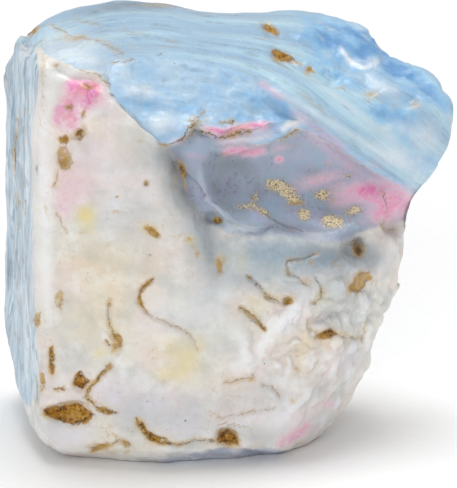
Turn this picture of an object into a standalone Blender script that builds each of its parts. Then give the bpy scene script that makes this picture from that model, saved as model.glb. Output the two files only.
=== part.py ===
"""A rough lump of blue opal, broken and water-smoothed, resting on one flat break.

The lump is modelled as one solid. A block is drawn round its corners, a fine ball is
drawn in onto the block, and the ball is then carved: hollows bitten out of it, ledges,
swells, grooves and pits. Lengths are in millimetres until the mesh is written in metres.
"""

import math

import bmesh
import bpy
import numpy as np
from mathutils import Vector, noise

# Driving sizes of the lump.
WIDTH = 56.6
DEPTH = 37.0
HEIGHT = 52.6

# The lump's marks are placed as they are seen from one standpoint in front of it, in
# picture points: u runs right, v runs down, and PER_MM of them make a millimetre there.
PER_MM = 8.0
VIEW_ELEVATION = math.radians(16.0)
VIEW_DISTANCE = 420.0
VIEW_TARGET = np.array([0.0, 0.0, 24.0])
VIEW_CENTRE = (229.0, 244.0)

MM = 0.001
HEART = np.array([-1.0, 0.0, 25.0])
BALL_SUBDIVISIONS = 8
FINAL_TRIANGLES = 9400
ROUNDING_PASSES = 16
BASE_SNAP = 0.02
SEED_SHIFT = Vector((11.0, 4.0, 7.0))
STONE_COLOUR = (0.62, 0.72, 0.78, 1.0)
STONE_ROUGHNESS = 0.38

# Corners of the block before carving, across, back and up from the middle of the base.
CORNERS = {
    "base_front_left": (-19.4, -12.2, -0.6),
    "base_front_middle": (-7.6, -14.8, -0.6),
    "base_front_right": (7.2, -11.6, -0.6),
    "base_right": (10.6, -6.5, -0.6),
    "base_back_right": (9.0, 10.0, -0.6),
    "base_back_left": (-19.0, 12.0, -0.6),
    "foot_left": (-24.0, -11.0, 2.0),
    "foot_front_left": (-20.8, -16.0, 1.7),
    "foot_front_middle": (-8.0, -18.6, 1.9),
    "foot_front_right": (6.9, -14.8, 1.5),
    "foot_left_high": (-26.2, -5.0, 5.4),
    "left_low_back": (-29.0, 10.0, 8.8),
    "left_low_rear": (-26.6, 15.0, 9.4),
    "left_high_back": (-29.0, 11.0, 43.0),
    "left_shoulder": (-27.3, 4.0, 48.5),
    "left_crest": (-23.6, -4.0, 53.2),
    "front_left_low": (-23.2, -16.2, 6.0),
    "front_left_top": (-23.0, -15.6, 50.3),
    "front_left_knee": (-17.5, -17.6, 47.5),
    "crest_one": (-21.2, 2.0, 53.4),
    "crest_two": (-18.4, 7.0, 53.2),
    "crest_three": (-13.7, 12.0, 52.9),
    "crest_four": (-8.1, 14.5, 52.3),
    "crest_five": (0.1, 16.5, 50.6),
    "crest_six": (11.2, 16.5, 50.4),
    "crest_seven": (17.1, 15.0, 50.0),
    "crest_eight": (20.8, 13.0, 46.4),
    "crest_nine": (26.5, 8.4, 43.9),
    "right_tip_top": (29.5, 3.6, 42.4),
    "right_tip": (28.6, 1.0, 37.6),
    "right_flank": (23.6, 0.0, 30.3),
    "right_waist": (21.9, 0.0, 20.6),
    "right_low": (20.0, -2.0, 14.0),
    "right_lower": (18.2, -3.0, 9.1),
    "right_foot": (14.8, -6.0, 3.0),
    "rim_left": (-14.1, -17.6, 47.0),
    "rim_point": (-8.2, -18.2, 41.5),
    "rim_middle": (-3.5, -13.4, 42.4),
    "rim_crest": (7.4, -8.4, 42.1),
    "rim_right": (14.8, -6.4, 37.9),
    "rim_end": (23.2, -3.0, 31.8),
    "shoulder_left": (-13.6, -12.6, 50.3),
    "shoulder_middle": (4.0, -5.4, 46.6),
    "shoulder_right": (12.4, -3.4, 41.7),
    "front_middle": (-7.0, -19.2, 22.0),
    "front_low": (-8.0, -19.4, 7.0),
    "front_right_high": (9.0, -16.0, 24.0),
    "front_right": (13.0, -13.5, 15.0),
    "front_right_low": (7.5, -15.8, 6.0),
    "back_left_high": (-24.0, 16.0, 40.0),
    "back_left_low": (-22.0, 17.8, 9.0),
    "back_middle_high": (-4.0, 18.5, 42.0),
    "back_middle_low": (-3.0, 18.0, 10.0),
    "back_right_high": (18.0, 16.5, 38.0),
    "back_right_middle": (19.0, 13.0, 22.0),
    "back_right_low": (12.0, 12.0, 7.0),
}


def standpoint(azimuth):
    """Right, up and forward directions of someone who looks at the stone from azimuth."""
    turn = math.radians(azimuth)
    right = np.array([math.cos(turn), math.sin(turn), 0.0])
    level = np.array([-math.sin(turn), math.cos(turn), 0.0])
    skyward = np.array([0.0, 0.0, 1.0])
    forward = math.cos(VIEW_ELEVATION) * level - math.sin(VIEW_ELEVATION) * skyward
    up = math.sin(VIEW_ELEVATION) * level + math.cos(VIEW_ELEVATION) * skyward
    return right, up, forward


def in_view(points, azimuth):
    """Picture points (u, v) of points in space, seen from azimuth."""
    right, up, forward = standpoint(azimuth)
    from_target = points - VIEW_TARGET
    scale = PER_MM * VIEW_DISTANCE / (VIEW_DISTANCE + from_target @ forward)
    u = VIEW_CENTRE[0] + scale * (from_target @ right)
    v = VIEW_CENTRE[1] - scale * (from_target @ up)
    return u, v


def block_planes():
    """Outward normals and distances from the heart of the faces round the corners."""
    block = bmesh.new()
    for corner in CORNERS.values():
        block.verts.new(corner)
    bmesh.ops.convex_hull(block, input=block.verts)
    block.normal_update()
    normals = np.array([face.normal for face in block.faces])
    on_face = np.array([face.verts[0].co for face in block.faces])
    block.free()
    distances = np.einsum("ij,ij->i", on_face - HEART, normals)
    outward = np.sign(distances)
    return normals * outward[:, None], distances * outward


def ball_on_block():
    """A fine ball whose every point is drawn in, towards the heart, onto the block."""
    ball = bmesh.new()
    bmesh.ops.create_icosphere(ball, subdivisions=BALL_SUBDIVISIONS, radius=1.0)
    ways = np.array([vert.co for vert in ball.verts])
    ways /= np.linalg.norm(ways, axis=1)[:, None]
    normals, distances = block_planes()
    nearness = (ways @ normals.T) / distances
    reach = 1.0 / nearness.max(axis=1)
    place(ball, HEART + ways * reach[:, None])
    return ball


def place(mesh, points):
    for vert, point in zip(mesh.verts, points):
        vert.co = point


def points_of(mesh):
    return np.array([vert.co for vert in mesh.verts])


def normals_of(mesh):
    mesh.normal_update()
    return np.array([vert.normal for vert in mesh.verts])


def round_off(mesh, passes):
    for _ in range(passes):
        bmesh.ops.smooth_vert(
            mesh,
            verts=mesh.verts,
            factor=0.5,
            use_axis_x=True,
            use_axis_y=True,
            use_axis_z=True,
        )


def eased(value, low, high):
    """0 below low, 1 above high and a smooth rise between them."""
    share = np.clip((value - low) / (high - low), 0.0, 1.0)
    return share * share * (3.0 - 2.0 * share)


def smooth_path(corners, steps=6):
    """A rounded line through the corners, as many short straight pieces."""
    ends = np.array(corners, float)
    if len(ends) == 2:
        return ends
    wide = np.vstack([2 * ends[0] - ends[1], ends, 2 * ends[-1] - ends[-2]])
    line = []
    for k in range(1, len(wide) - 2):
        p0, p1, p2, p3 = wide[k - 1 : k + 3]
        for t in np.arange(steps) / steps:
            line.append(
                0.5
                * (
                    2 * p1
                    + (p2 - p0) * t
                    + (2 * p0 - 5 * p1 + 4 * p2 - p3) * t**2
                    + (3 * p1 - p0 - 3 * p2 + p3) * t**3
                )
            )
    line.append(wide[-2])
    return np.array(line)


def beside_path(u, v, corners):
    """How far each picture point is from a path, its side of it, and its share along it.

    The distance is in millimetres, and it is positive on the right-hand side of
    someone who walks along the path in the picture.
    """
    line = smooth_path(corners)
    steps = np.diff(line, axis=0)
    lengths = np.linalg.norm(steps, axis=1)
    before = np.concatenate([[0.0], np.cumsum(lengths)])
    nearest = np.full(len(u), 1e9)
    side = np.zeros(len(u))
    share = np.zeros(len(u))
    for start, step, length, walked in zip(line, steps, lengths, before):
        du, dv = u - start[0], v - start[1]
        t = np.clip((du * step[0] + dv * step[1]) / length**2, 0.0, 1.0)
        away = np.hypot(du - t * step[0], dv - t * step[1])
        closer = away < nearest
        nearest = np.where(closer, away, nearest)
        side = np.where(closer, np.sign(step[0] * dv - step[1] * du), side)
        share = np.where(closer, (walked + t * length) / before[-1], share)
    return nearest / PER_MM * side, share


def tapered(share, ends=0.18):
    return eased(share, 0.0, ends) * eased(1.0 - share, 0.0, ends)


def groove(u, v, corners, width, depth):
    away, share = beside_path(u, v, corners)
    return -depth * np.exp(-((away / width) ** 2)) * tapered(share)


def ledge(u, v, corners, rise, drop, run):
    """A step along a path: the right-hand side stands up and the left-hand side falls."""
    away, share = beside_path(u, v, corners)
    up = rise * np.exp(-np.maximum(away, 0.0) / run) * eased(away, -0.25, 0.15)
    down = drop * np.exp(np.minimum(away, 0.0) / run) * eased(-away, -0.15, 0.25)
    return (up - down) * tapered(share)


def spread(u, v, at, size, turn):
    """The square of the distance from a place in the picture, 1 on its turned oval."""
    angle = math.radians(turn)
    du, dv = (u - at[0]) / PER_MM, (v - at[1]) / PER_MM
    along = (du * math.cos(angle) + dv * math.sin(angle)) / size[0]
    across = (dv * math.cos(angle) - du * math.sin(angle)) / size[1]
    return along**2 + across**2


def swell(u, v, at, size, turn, height):
    """A smooth hump, or a dent where the height is negative. size is its half axes."""
    return height * np.exp(-spread(u, v, at, size, turn))


def bowl(u, v, at, size, turn, depth, soft):
    """A round-bottomed hollow with a rim that turns over within soft of its half axes."""
    inward = (1.0 - spread(u, v, at, size, turn)) / soft
    return -depth * soft * np.logaddexp(0.0, np.minimum(inward, 60.0))


def relief(points, scale, octaves, shift):
    """Even rolling noise, about -1 to 1, whose humps are about scale apart."""
    offset = SEED_SHIFT * shift
    return np.array(
        [
            noise.fractal(Vector(point) / scale + offset, 0.8, 2.0, octaves)
            for point in points
        ]
    )


# Hollows broken out of the seen side: place in the picture, half axes, turn, depth and
# how softly the rim turns over.
BOWLS = {
    "shell_hollow": ((308, 186), (13.6, 6.6), 9, 3.0, 0.10),
    "lens": ((240, 190), (4.6, 5.3), -12, 1.0, 0.14),
    "second_shell": ((312, 194), (6.2, 5.4), 10, 0.6, 0.30),
    "blue_break": ((204, 98), (12.4, 4.4), 8, 0.8, 0.12),
    "upper_blue_break": ((350, 78), (9.0, 5.0), 24, 0.7, 0.15),
}

# Humps and dents felt from every side: centre, half axes and height, in millimetres.
SPACE_SWELLS = {
    "crest_notch": ((21.4, 12.0, 46.8), (3.6, 6.0, 3.6), -1.6),
    "right_notch": ((26.0, -1.0, 28.2), (6.0, 8.0, 5.4), -1.2),
    "crest_dip": ((-1.0, 17.0, 51.0), (6.0, 7.0, 4.0), -1.1),
    "left_dip": ((-29.0, 10.0, 26.0), (5.0, 9.0, 9.0), -0.4),
    "left_corner": ((-28.0, 5.0, 48.4), (4.0, 5.0, 2.6), -0.7),
    "left_hollow": ((-29.0, 9.0, 38.6), (4.0, 8.0, 4.2), -0.6),
    "back_hollow": ((2.0, 19.0, 24.0), (9.0, 5.0, 7.0), -2.2),
    "back_shoulder": ((-16.0, 18.0, 33.0), (7.0, 5.0, 8.0), 1.2),
    "back_foot": ((10.0, 14.0, 8.0), (7.0, 6.0, 5.0), -1.6),
    "right_bulge": ((22.0, 9.0, 33.0), (6.0, 6.0, 6.0), 1.3),
    "right_ledge": ((19.5, 13.0, 16.5), (5.0, 6.0, 4.5), -1.2),
}

# Humps and dents of the seen side: place in the picture, half axes, turn and height.
SWELLS = {
    "valley_mouth": ((184, 178), (2.0, 4.4), -20, -1.3),
    "valley_middle": ((203, 214), (1.6, 4.2), -24, -0.9),
    "valley_foot": ((217, 250), (1.5, 4.6), -8, -1.1),
    "hollow_pit": ((183, 171), (0.6, 1.3), -10, -0.7),
    "hollow_pit_low": ((218, 224), (0.7, 0.6), 0, -0.7),
    "crest_of_swirl": ((285, 324), (3.8, 1.1), -47, 0.75),
    "swirl_hump": ((243, 343), (1.2, 1.6), 0, 0.4),
    "swirl_hump_low": ((249, 366), (1.7, 1.4), 0, 0.5),
    "middle_hump": ((224, 302), (2.2, 4.6), -6, 0.55),
    "crack_shoulder": ((163, 333), (2.0, 1.0), 30, 0.35),
    "right_hump": ((309, 350), (1.9, 2.8), 10, 0.55),
    "right_hump_two": ((336, 358), (2.0, 1.5), -20, 0.45),
    "right_hump_three": ((346, 300), (2.4, 1.9), -30, 0.55),
    "right_hump_four": ((335, 272), (2.2, 1.5), 20, 0.4),
    "right_hump_low": ((302, 384), (2.6, 1.8), 0, 0.45),
    "right_dent": ((326, 325), (2.6, 1.0), -18, -0.6),
    "right_dent_low": ((283, 366), (1.1, 2.6), 10, -0.4),
    "middle_dent": ((256, 314), (2.4, 1.3), 35, -0.4),
    "front_left_flat": ((90, 300), (6.0, 9.0), 0, 0.25),
    "low_front_hollow": ((190, 405), (10.0, 2.2), 2, -0.35),
    "low_front_hump": ((180, 428), (8.0, 1.6), 4, 0.35),
    "foot_hump": ((85, 442), (5.0, 1.6), 6, 0.5),
    "round_pit": ((359, 250), (1.3, 1.3), 0, -1.1),
    "round_pit_brow": ((356, 236), (2.0, 0.7), 8, 0.3),
    "edge_notch": ((402, 228), (1.2, 1.2), 0, -0.8),
    "ring_dent": ((365, 286), (1.0, 1.3), 20, -0.35),
    "lip_arch": ((230, 444), (1.1, 1.0), 0, -1.1),
    "ochre_cavity": ((70, 418), (2.9, 1.2), 2, -1.0),
    "ochre_star": ((81, 387), (0.8, 1.1), 0, -0.6),
    "pink_knob": ((72, 112), (1.9, 3.2), 14, 0.5),
    "pink_pit": ((70, 109), (0.6, 0.5), 0, -0.4),
    "pink_pit_low": ((78, 137), (1.2, 0.45), -12, -0.5),
    "brown_pit": ((63, 160), (0.6, 1.3), 0, -0.4),
    "seed_pit": ((147, 185), (0.4, 0.5), 0, -0.35),
    "crest_pit": ((273, 30), (0.7, 1.2), -30, -0.5),
    "crest_pit_low": ((284, 55), (1.7, 0.7), 25, -0.6),
    "corner_dome": ((78, 50), (3.6, 2.2), 10, 0.45),
    "corner_dent": ((112, 66), (1.6, 1.0), -10, -0.5),
    "blue_hump": ((137, 92), (1.8, 1.2), 0, 0.35),
    "blue_hump_low": ((166, 128), (1.8, 1.4), 20, 0.35),
    "blue_dent": ((150, 106), (2.2, 1.0), 15, -0.25),
    "white_crest": ((292, 124), (2.4, 0.7), -14, 0.45),
    "shell_hump": ((322, 172), (3.0, 3.4), 0, 0.5),
    "pink_shoulder": ((380, 190), (3.4, 1.6), 30, 0.5),
    "knob_one": ((386, 88), (2.2, 1.0), 10, 0.45),
    "knob_two": ((352, 60), (1.2, 0.7), 0, -0.35),
    "knob_three": ((331, 71), (1.6, 0.9), 0, -0.45),
    "knob_four": ((367, 50), (2.2, 1.4), 0, 0.45),
    "knob_five": ((367, 51), (1.3, 0.8), 0, -0.5),
    "knob_six": ((424, 112), (2.0, 1.6), 30, 0.45),
    "knob_seven": ((410, 96), (1.3, 0.8), 0, -0.4),
    "knob_eight": ((309, 36), (1.8, 0.8), -15, 0.4),
    "knob_nine": ((398, 70), (1.5, 0.8), 30, -0.35),
    "knob_ten": ((437, 132), (1.2, 1.4), 0, -0.35),
}

# Narrow cracks: path in the picture, half width and depth.
GROOVES = {
    "edge_crack": (
        [(108, 76), (109, 90), (112, 98), (120, 107), (134, 119), (147, 132), (160, 144)],
        0.5, 0.75,
    ),
    "pink_crack": (
        [(85, 106), (84, 120), (83, 132), (77, 139), (66, 140), (62, 150), (60, 172)],
        0.5, 0.55,
    ),
    "left_crack": ([(58, 170), (57, 182), (53, 192), (56, 214), (68, 238)], 0.45, 0.3),
    "vein": ([(111, 300), (109, 318), (113, 338), (121, 347), (119, 356), (112, 366)], 0.5, 0.5),
    "vein_side": ([(105, 343), (112, 351)], 0.4, 0.3),
    "vein_low": (
        [(112, 366), (98, 384), (86, 398), (92, 405), (100, 412), (111, 417), (119, 418)],
        0.5, 0.55,
    ),
    "hook": ([(157, 278), (150, 286), (141, 294), (140, 304), (146, 315), (156, 321)], 0.5, 0.6),
    "hook_tail": ([(150, 319), (171, 328), (185, 335), (196, 345), (200, 358)], 0.5, 0.35),
    "swirl_one": (
        [(247, 276), (255, 284), (262, 290), (270, 299), (280, 305), (288, 307), (297, 303)],
        0.5, 0.7,
    ),
    "swirl_two": ([(240, 309), (248, 315), (257, 320), (262, 328), (268, 336)], 0.5, 0.6),
    "swirl_three": ([(320, 257), (306, 262), (291, 265), (292, 276), (303, 282), (313, 291)], 0.5, 0.6),
    "swirl_three_arm": ([(316, 278), (322, 287), (325, 297), (315, 309)], 0.5, 0.5),
    "swirl_four": ([(319, 341), (326, 336), (337, 334), (342, 340), (352, 341), (366, 343)], 0.5, 0.65),
    "swirl_five": ([(354, 306), (344, 317), (333, 321), (322, 326)], 0.7, 0.6),
    "swirl_six": ([(216, 377), (226, 376), (236, 372)], 0.45, 0.4),
    "swirl_seven": ([(222, 386), (243, 384), (253, 382), (258, 376)], 0.45, 0.5),
    "swirl_eight": ([(262, 390), (272, 390), (279, 396), (282, 403)], 0.45, 0.45),
    "fold": ([(303, 345), (298, 358), (300, 374)], 0.8, 0.4),
    "low_crack": ([(216, 425), (240, 419), (262, 415), (282, 412)], 0.45, 0.35),
    "left_ridge_crack": ([(50, 348), (52, 362), (54, 378)], 0.5, 0.55),
    "left_foot_crack": ([(56, 394), (70, 393), (84, 396)], 0.45, 0.35),
    "right_strip": ([(398, 280), (391, 297), (383, 308), (371, 323), (366, 336), (365, 348)], 0.7, 1.0),
    "foot_crack": ([(86, 453), (100, 451), (112, 449), (122, 444), (132, 452)], 0.5, 0.45),
}

# Broken steps: path in the picture with the standing side on the right hand, rise,
# drop and how far either side takes to settle.
LEDGES = {
    "front_brow": ([(108, 90), (122, 108), (136, 121), (149, 134), (168, 152)], 0.25, 0.35, 1.6),
    "corner_brow": ([(110, 90), (103, 82), (92, 78), (76, 77), (62, 70), (48, 62)], 0.3, 0.4, 1.2),
    "blue_ledge": (
        [
            (304, 121), (276, 126), (255, 133), (236, 131), (222, 137),
            (208, 133), (198, 127), (188, 138), (168, 148),
        ],
        0.45, 0.55, 1.3,
    ),
    "pink_ledge": ([(304, 128), (288, 139), (262, 149), (240, 154), (212, 150)], 0.35, 0.5, 1.2),
    "pink_ridge": (
        [(424, 196), (400, 184), (376, 168), (350, 150), (331, 136), (315, 124), (290, 105), (262, 83)],
        0.35, 1.1, 2.8,
    ),
    "lens_rim": (
        [(290, 222), (268, 231), (250, 232), (228, 224), (212, 206), (204, 185), (201, 158)],
        0.4, 0.5, 2.4,
    ),
    "shell_rim": ([(262, 160), (266, 185), (273, 205), (290, 222), (320, 235)], 0.15, 0.15, 1.5),
    "foot_ledge": (
        [(222, 447), (200, 445), (184, 449), (172, 449), (158, 445), (148, 440), (141, 430), (135, 421)],
        0.3, 0.7, 1.6,
    ),
    "lip_ledge": ([(300, 452), (268, 457), (240, 452)], 0.2, 0.4, 1.2),
    "cavity_brow": ([(92, 414), (82, 408), (64, 409), (44, 414)], 0.25, 0.6, 1.0),
}


# The sides away from the photo's view carry the same kinds of breaks, placed the same
# way from standpoints behind the stone and to its right and left.
BACK_BOWLS = {
    "back_shell": ((150, 190), (9.5, 6.5), -15, 1.9, 0.12),
    "back_shell_small": ((262, 140), (5.4, 3.8), 20, 0.9, 0.12),
    "back_low_shell": ((320, 335), (8.0, 7.0), 15, 1.4, 0.12),
    "back_corner_break": ((398, 150), (4.2, 8.0), 5, 0.9, 0.15),
    "back_foot_break": ((170, 385), (5.0, 4.0), 30, 1.0, 0.12),
}
BACK_SWELLS = {
    "back_lump_one": ((222, 250), (3.2, 2.0), 12, 0.7),
    "back_lump_two": ((285, 222), (2.4, 3.6), -20, 0.6),
    "back_lump_three": ((182, 300), (3.6, 2.2), 32, 0.7),
    "back_lump_four": ((352, 236), (2.0, 4.4), 0, 0.5),
    "back_lump_five": ((262, 396), (4.4, 2.0), 5, 0.6),
    "back_lump_six": ((118, 128), (2.2, 2.2), 0, 0.5),
    "back_pit_one": ((240, 205), (0.9, 1.2), 0, -0.7),
    "back_pit_two": ((365, 400), (1.4, 0.9), 20, -0.6),
    "back_pit_three": ((110, 250), (1.0, 1.6), 20, -0.6),
}
BACK_GROOVES = {
    "back_crack": (
        [(88, 118), (140, 142), (188, 205), (212, 262), (262, 300), (296, 370), (332, 436)],
        0.6, 0.7,
    ),
    "back_crack_side": ([(212, 262), (176, 300), (160, 352)], 0.55, 0.5),
    "back_vein": ([(334, 86), (352, 150), (344, 212), (372, 262), (392, 330)], 0.55, 0.5),
}
BACK_LEDGES = {
    "back_step": ([(112, 92), (172, 112), (240, 98), (300, 118), (360, 134), (430, 108)], 0.12, 0.7, 2.4),
    "back_low_step": ([(200, 424), (268, 396), (330, 404), (404, 380)], 0.12, 0.7, 2.4),
}
RIGHT_BOWLS = {
    "right_shell": ((266, 262), (5.4, 7.0), 12, 0.9, 0.2),
    "right_low_shell": ((262, 380), (5.0, 4.6), -10, 1.0, 0.12),
    "right_top_shell": ((300, 150), (4.6, 4.0), 20, 0.8, 0.12),
}
RIGHT_SWELLS = {
    "right_lump_one": ((180, 250), (1.8, 3.0), 0, 0.5),
    "right_lump_two": ((282, 238), (2.0, 2.4), 0, 0.5),
    "right_lump_three": ((212, 336), (2.6, 1.6), 10, 0.35),
    "right_pit": ((300, 300), (1.0, 1.4), 0, -0.6),
}
RIGHT_GROOVES = {
    "right_crack": ([(168, 190), (200, 214), (214, 262), (252, 318), (262, 372)], 0.6, 0.6),
}
RIGHT_LEDGES = {
    "right_step": ([(236, 336), (262, 332), (292, 322), (330, 336)], 0.12, 0.6, 2.4),
}
LEFT_BOWLS = {
    "left_shell": ((150, 350), (4.4, 7.0), 6, 0.7, 0.15),
    "left_top_chip": ((262, 60), (4.0, 2.4), 8, 0.6, 0.15),
}
LEFT_SWELLS = {
    "left_lump": ((200, 200), (2.0, 7.0), 2, 0.4),
    "left_pit": ((176, 262), (0.7, 2.2), 0, -0.5),
}
LEFT_GROOVES = {
    "left_flute": ([(214, 60), (218, 150), (208, 250), (216, 360)], 0.6, 0.5),
    "left_flute_two": ([(262, 110), (258, 190), (266, 290)], 0.55, 0.4),
    "left_flute_three": ([(156, 90), (160, 170), (150, 260)], 0.55, 0.45),
}
LEFT_LEDGES = {
    "left_step": ([(120, 120), (150, 96), (200, 82), (250, 92), (290, 84)], 0.08, 0.4, 2.0),
}
SIDES = (
    (0.0, BOWLS, SWELLS, GROOVES, LEDGES),
    (180.0, BACK_BOWLS, BACK_SWELLS, BACK_GROOVES, BACK_LEDGES),
    (80.0, RIGHT_BOWLS, RIGHT_SWELLS, RIGHT_GROOVES, RIGHT_LEDGES),
    (280.0, LEFT_BOWLS, LEFT_SWELLS, LEFT_GROOVES, LEFT_LEDGES),
)


def space_swell(points, centre, size, height):
    return height * np.exp(-(((points - centre) / size) ** 2).sum(axis=1))


def carve_space(mesh):
    points = points_of(mesh)
    lift = np.zeros(len(points))
    for centre, size, height in SPACE_SWELLS.values():
        lift += space_swell(points, np.array(centre), np.array(size), height)
    place(mesh, points + normals_of(mesh) * lift[:, None])


def carve_side(mesh, azimuth, bowls, swells, grooves, ledges):
    points = points_of(mesh)
    normals = normals_of(mesh)
    u, v = in_view(points, azimuth)
    _, _, forward = standpoint(azimuth)
    facing = eased(-normals @ forward, 0.02, 0.3)
    lift = np.zeros(len(points))
    for at, size, turn, depth, soft in bowls.values():
        lift += bowl(u, v, at, size, turn, depth, soft)
    for at, size, turn, height in swells.values():
        lift += swell(u, v, at, size, turn, height)
    for corners, width, depth in grooves.values():
        lift += groove(u, v, corners, width, depth)
    for corners, rise, drop, run in ledges.values():
        lift += ledge(u, v, corners, rise, drop, run)
    place(mesh, points + normals * (lift * facing)[:, None])


def roughen(mesh):
    """The broken surface: rolling everywhere, knobbly behind, fluted on the left."""
    points = points_of(mesh)
    normals = normals_of(mesh)
    behind = eased(points @ np.array([0.55, 0.83, 0.0]), 14.8, 17.6)
    leftward = eased(-normals[:, 0], 0.55, 0.9) * (1.0 - behind)
    lift = 0.28 * relief(points, 7.0, 2, 1.0)
    lift += 0.55 * behind * relief(points, 4.4, 2, 2.0)
    flutes = points * np.array([1.0, 1.0, 0.09])
    lift += 0.22 * leftward * relief(flutes, 1.7, 2, 3.0)
    place(mesh, points + normals * lift[:, None])


def thinned(mesh):
    """The carved mesh with far fewer triangles, which keep to its edges and hollows."""
    carved = bpy.data.meshes.new("carved")
    mesh.to_mesh(carved)
    mesh.free()
    dense = bpy.data.objects.new("carved", carved)
    bpy.context.scene.collection.objects.link(dense)
    collapse = dense.modifiers.new("facets", "DECIMATE")
    collapse.ratio = FINAL_TRIANGLES / len(carved.polygons)
    view_layer = bpy.context.evaluated_depsgraph_get()
    facets = bmesh.new()
    facets.from_object(dense, view_layer)
    bpy.data.objects.remove(dense)
    bpy.data.meshes.remove(carved)
    return facets


def flatten_base(mesh):
    """One flat face for the stone to rest on."""
    for vert in mesh.verts:
        if vert.co.z < BASE_SNAP:
            vert.co.z = 0.0
    under = [face for face in mesh.faces if max(vert.co.z for vert in face.verts) == 0.0]
    bmesh.ops.dissolve_faces(mesh, faces=under)


def fit_to_size(mesh):
    """Sets the driving sizes, with the middle of the base's outline box at the origin."""
    points = points_of(mesh)
    low = points.min(axis=0)
    high = points.max(axis=0)
    middle = np.array([0.5 * (low[0] + high[0]), 0.5 * (low[1] + high[1]), low[2]])
    stretch = np.array([WIDTH, DEPTH, HEIGHT]) / (high - low)
    place(mesh, (points - middle) * stretch * MM)


def stone_material():
    """Waxy pale blue common opal, between the blue and the cream of the lump."""
    material = bpy.data.materials.new("blue_opal")
    material.use_nodes = True
    shader = material.node_tree.nodes["Principled BSDF"]
    shader.inputs["Base Color"].default_value = STONE_COLOUR
    shader.inputs["Roughness"].default_value = STONE_ROUGHNESS
    shader.inputs["Metallic"].default_value = 0.0
    material.diffuse_color = STONE_COLOUR
    return material


def main():
    for old in list(bpy.data.objects):
        bpy.data.objects.remove(old)
    lump = ball_on_block()
    round_off(lump, ROUNDING_PASSES)
    carve_space(lump)
    for azimuth, bowls, swells, grooves, ledges in SIDES:
        carve_side(lump, azimuth, bowls, swells, grooves, ledges)
    roughen(lump)
    round_off(lump, 1)
    points = points_of(lump)
    points[:, 2] = np.maximum(points[:, 2], 0.0)
    place(lump, points)
    facets = thinned(lump)
    flatten_base(facets)
    fit_to_size(facets)
    data = bpy.data.meshes.new("blue_opal")
    facets.to_mesh(data)
    facets.free()
    data.materials.append(stone_material())
    stone = bpy.data.objects.new("blue_opal", data)
    bpy.context.scene.collection.objects.link(stone)


main()
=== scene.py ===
"""A rough lump of blue opal on a pale floor, in soft daylight.

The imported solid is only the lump's plain form. Here the lump is carved again from the
same corners on a much finer skin, then cracked, pitted, fluted and grained, and it is
coloured from fields that are worked out for every point of that skin, such as where it
is blue, pink, yellow or rusty. The nodes break those fields up with grain of their own.
"""

import math
from types import SimpleNamespace

import bmesh
import bpy
import numpy as np
from bpy.props import FloatProperty, FloatVectorProperty, IntProperty, PointerProperty
from bpy.types import Operator, Panel, PropertyGroup
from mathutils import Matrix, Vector, noise


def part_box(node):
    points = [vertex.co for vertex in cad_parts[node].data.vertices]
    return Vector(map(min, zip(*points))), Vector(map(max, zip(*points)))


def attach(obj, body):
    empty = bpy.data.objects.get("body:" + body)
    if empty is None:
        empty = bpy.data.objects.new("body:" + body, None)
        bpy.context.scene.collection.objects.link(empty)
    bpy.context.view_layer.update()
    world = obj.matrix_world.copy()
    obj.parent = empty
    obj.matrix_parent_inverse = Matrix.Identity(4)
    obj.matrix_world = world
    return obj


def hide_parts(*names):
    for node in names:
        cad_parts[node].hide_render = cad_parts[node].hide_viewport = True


bl_info = {
    "name": "Rough Blue Opal",
    "version": (1, 0, 0),
    "blender": (4, 5, 0),
    "location": "View3D > Sidebar > Opal",
    "description": "Carves and colours a rough lump of blue opal and sets up its stage",
    "category": "Add Mesh",
}

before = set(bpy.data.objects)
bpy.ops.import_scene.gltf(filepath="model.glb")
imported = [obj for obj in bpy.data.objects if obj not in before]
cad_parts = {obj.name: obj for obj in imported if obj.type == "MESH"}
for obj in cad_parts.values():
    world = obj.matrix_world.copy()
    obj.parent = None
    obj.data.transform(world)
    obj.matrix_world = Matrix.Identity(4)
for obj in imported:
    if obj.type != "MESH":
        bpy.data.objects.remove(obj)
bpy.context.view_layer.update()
STONE_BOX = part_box("blue_opal")
STONE_SIZE = [high - low for low, high in zip(*STONE_BOX)]

MM = 0.001

# Marks are placed as they are seen from a standpoint level with a side of the stone,
# in picture points: u runs right, v runs down, and PER_MM of them make a millimetre.
PER_MM = 8.0
VIEW_ELEVATION = math.radians(16.0)
VIEW_DISTANCE = 420.0
VIEW_TARGET = np.array([0.0, 0.0, 24.0])
VIEW_CENTRE = (229.0, 244.0)
PICTURE_TALL = 488
FAR = 1e3

# The skin before carving, and how much stronger its forms are than the plain solid's.
HEART = np.array([-1.0, 0.0, 25.0])
SKIN_CUTS = 128
SKIN_LEAN = 0.42
ROUNDING_PASSES = 15
FORM_DEPTH = 1.35
CRACK_NARROWING = 0.62
CRACK_DEPTH = 0.42

# How far from its middle a form is worked out, in its own widths or in picture points,
# and the share of a path over which either end fades.
PATH_STEPS = 6
DEEPEST_BOWL = 60.0
GROOVE_REACH = 4.0
LEDGE_REACH = 8.0
SOFT_STROKE_REACH = 3.0
STROKE_REACH = 14.0
FORM_TAPER = 0.18
SOFT_STROKE_TAPER = 0.22
STROKE_TAPER = 0.08
SIDE_STROKE_FORCE = 0.8

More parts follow.
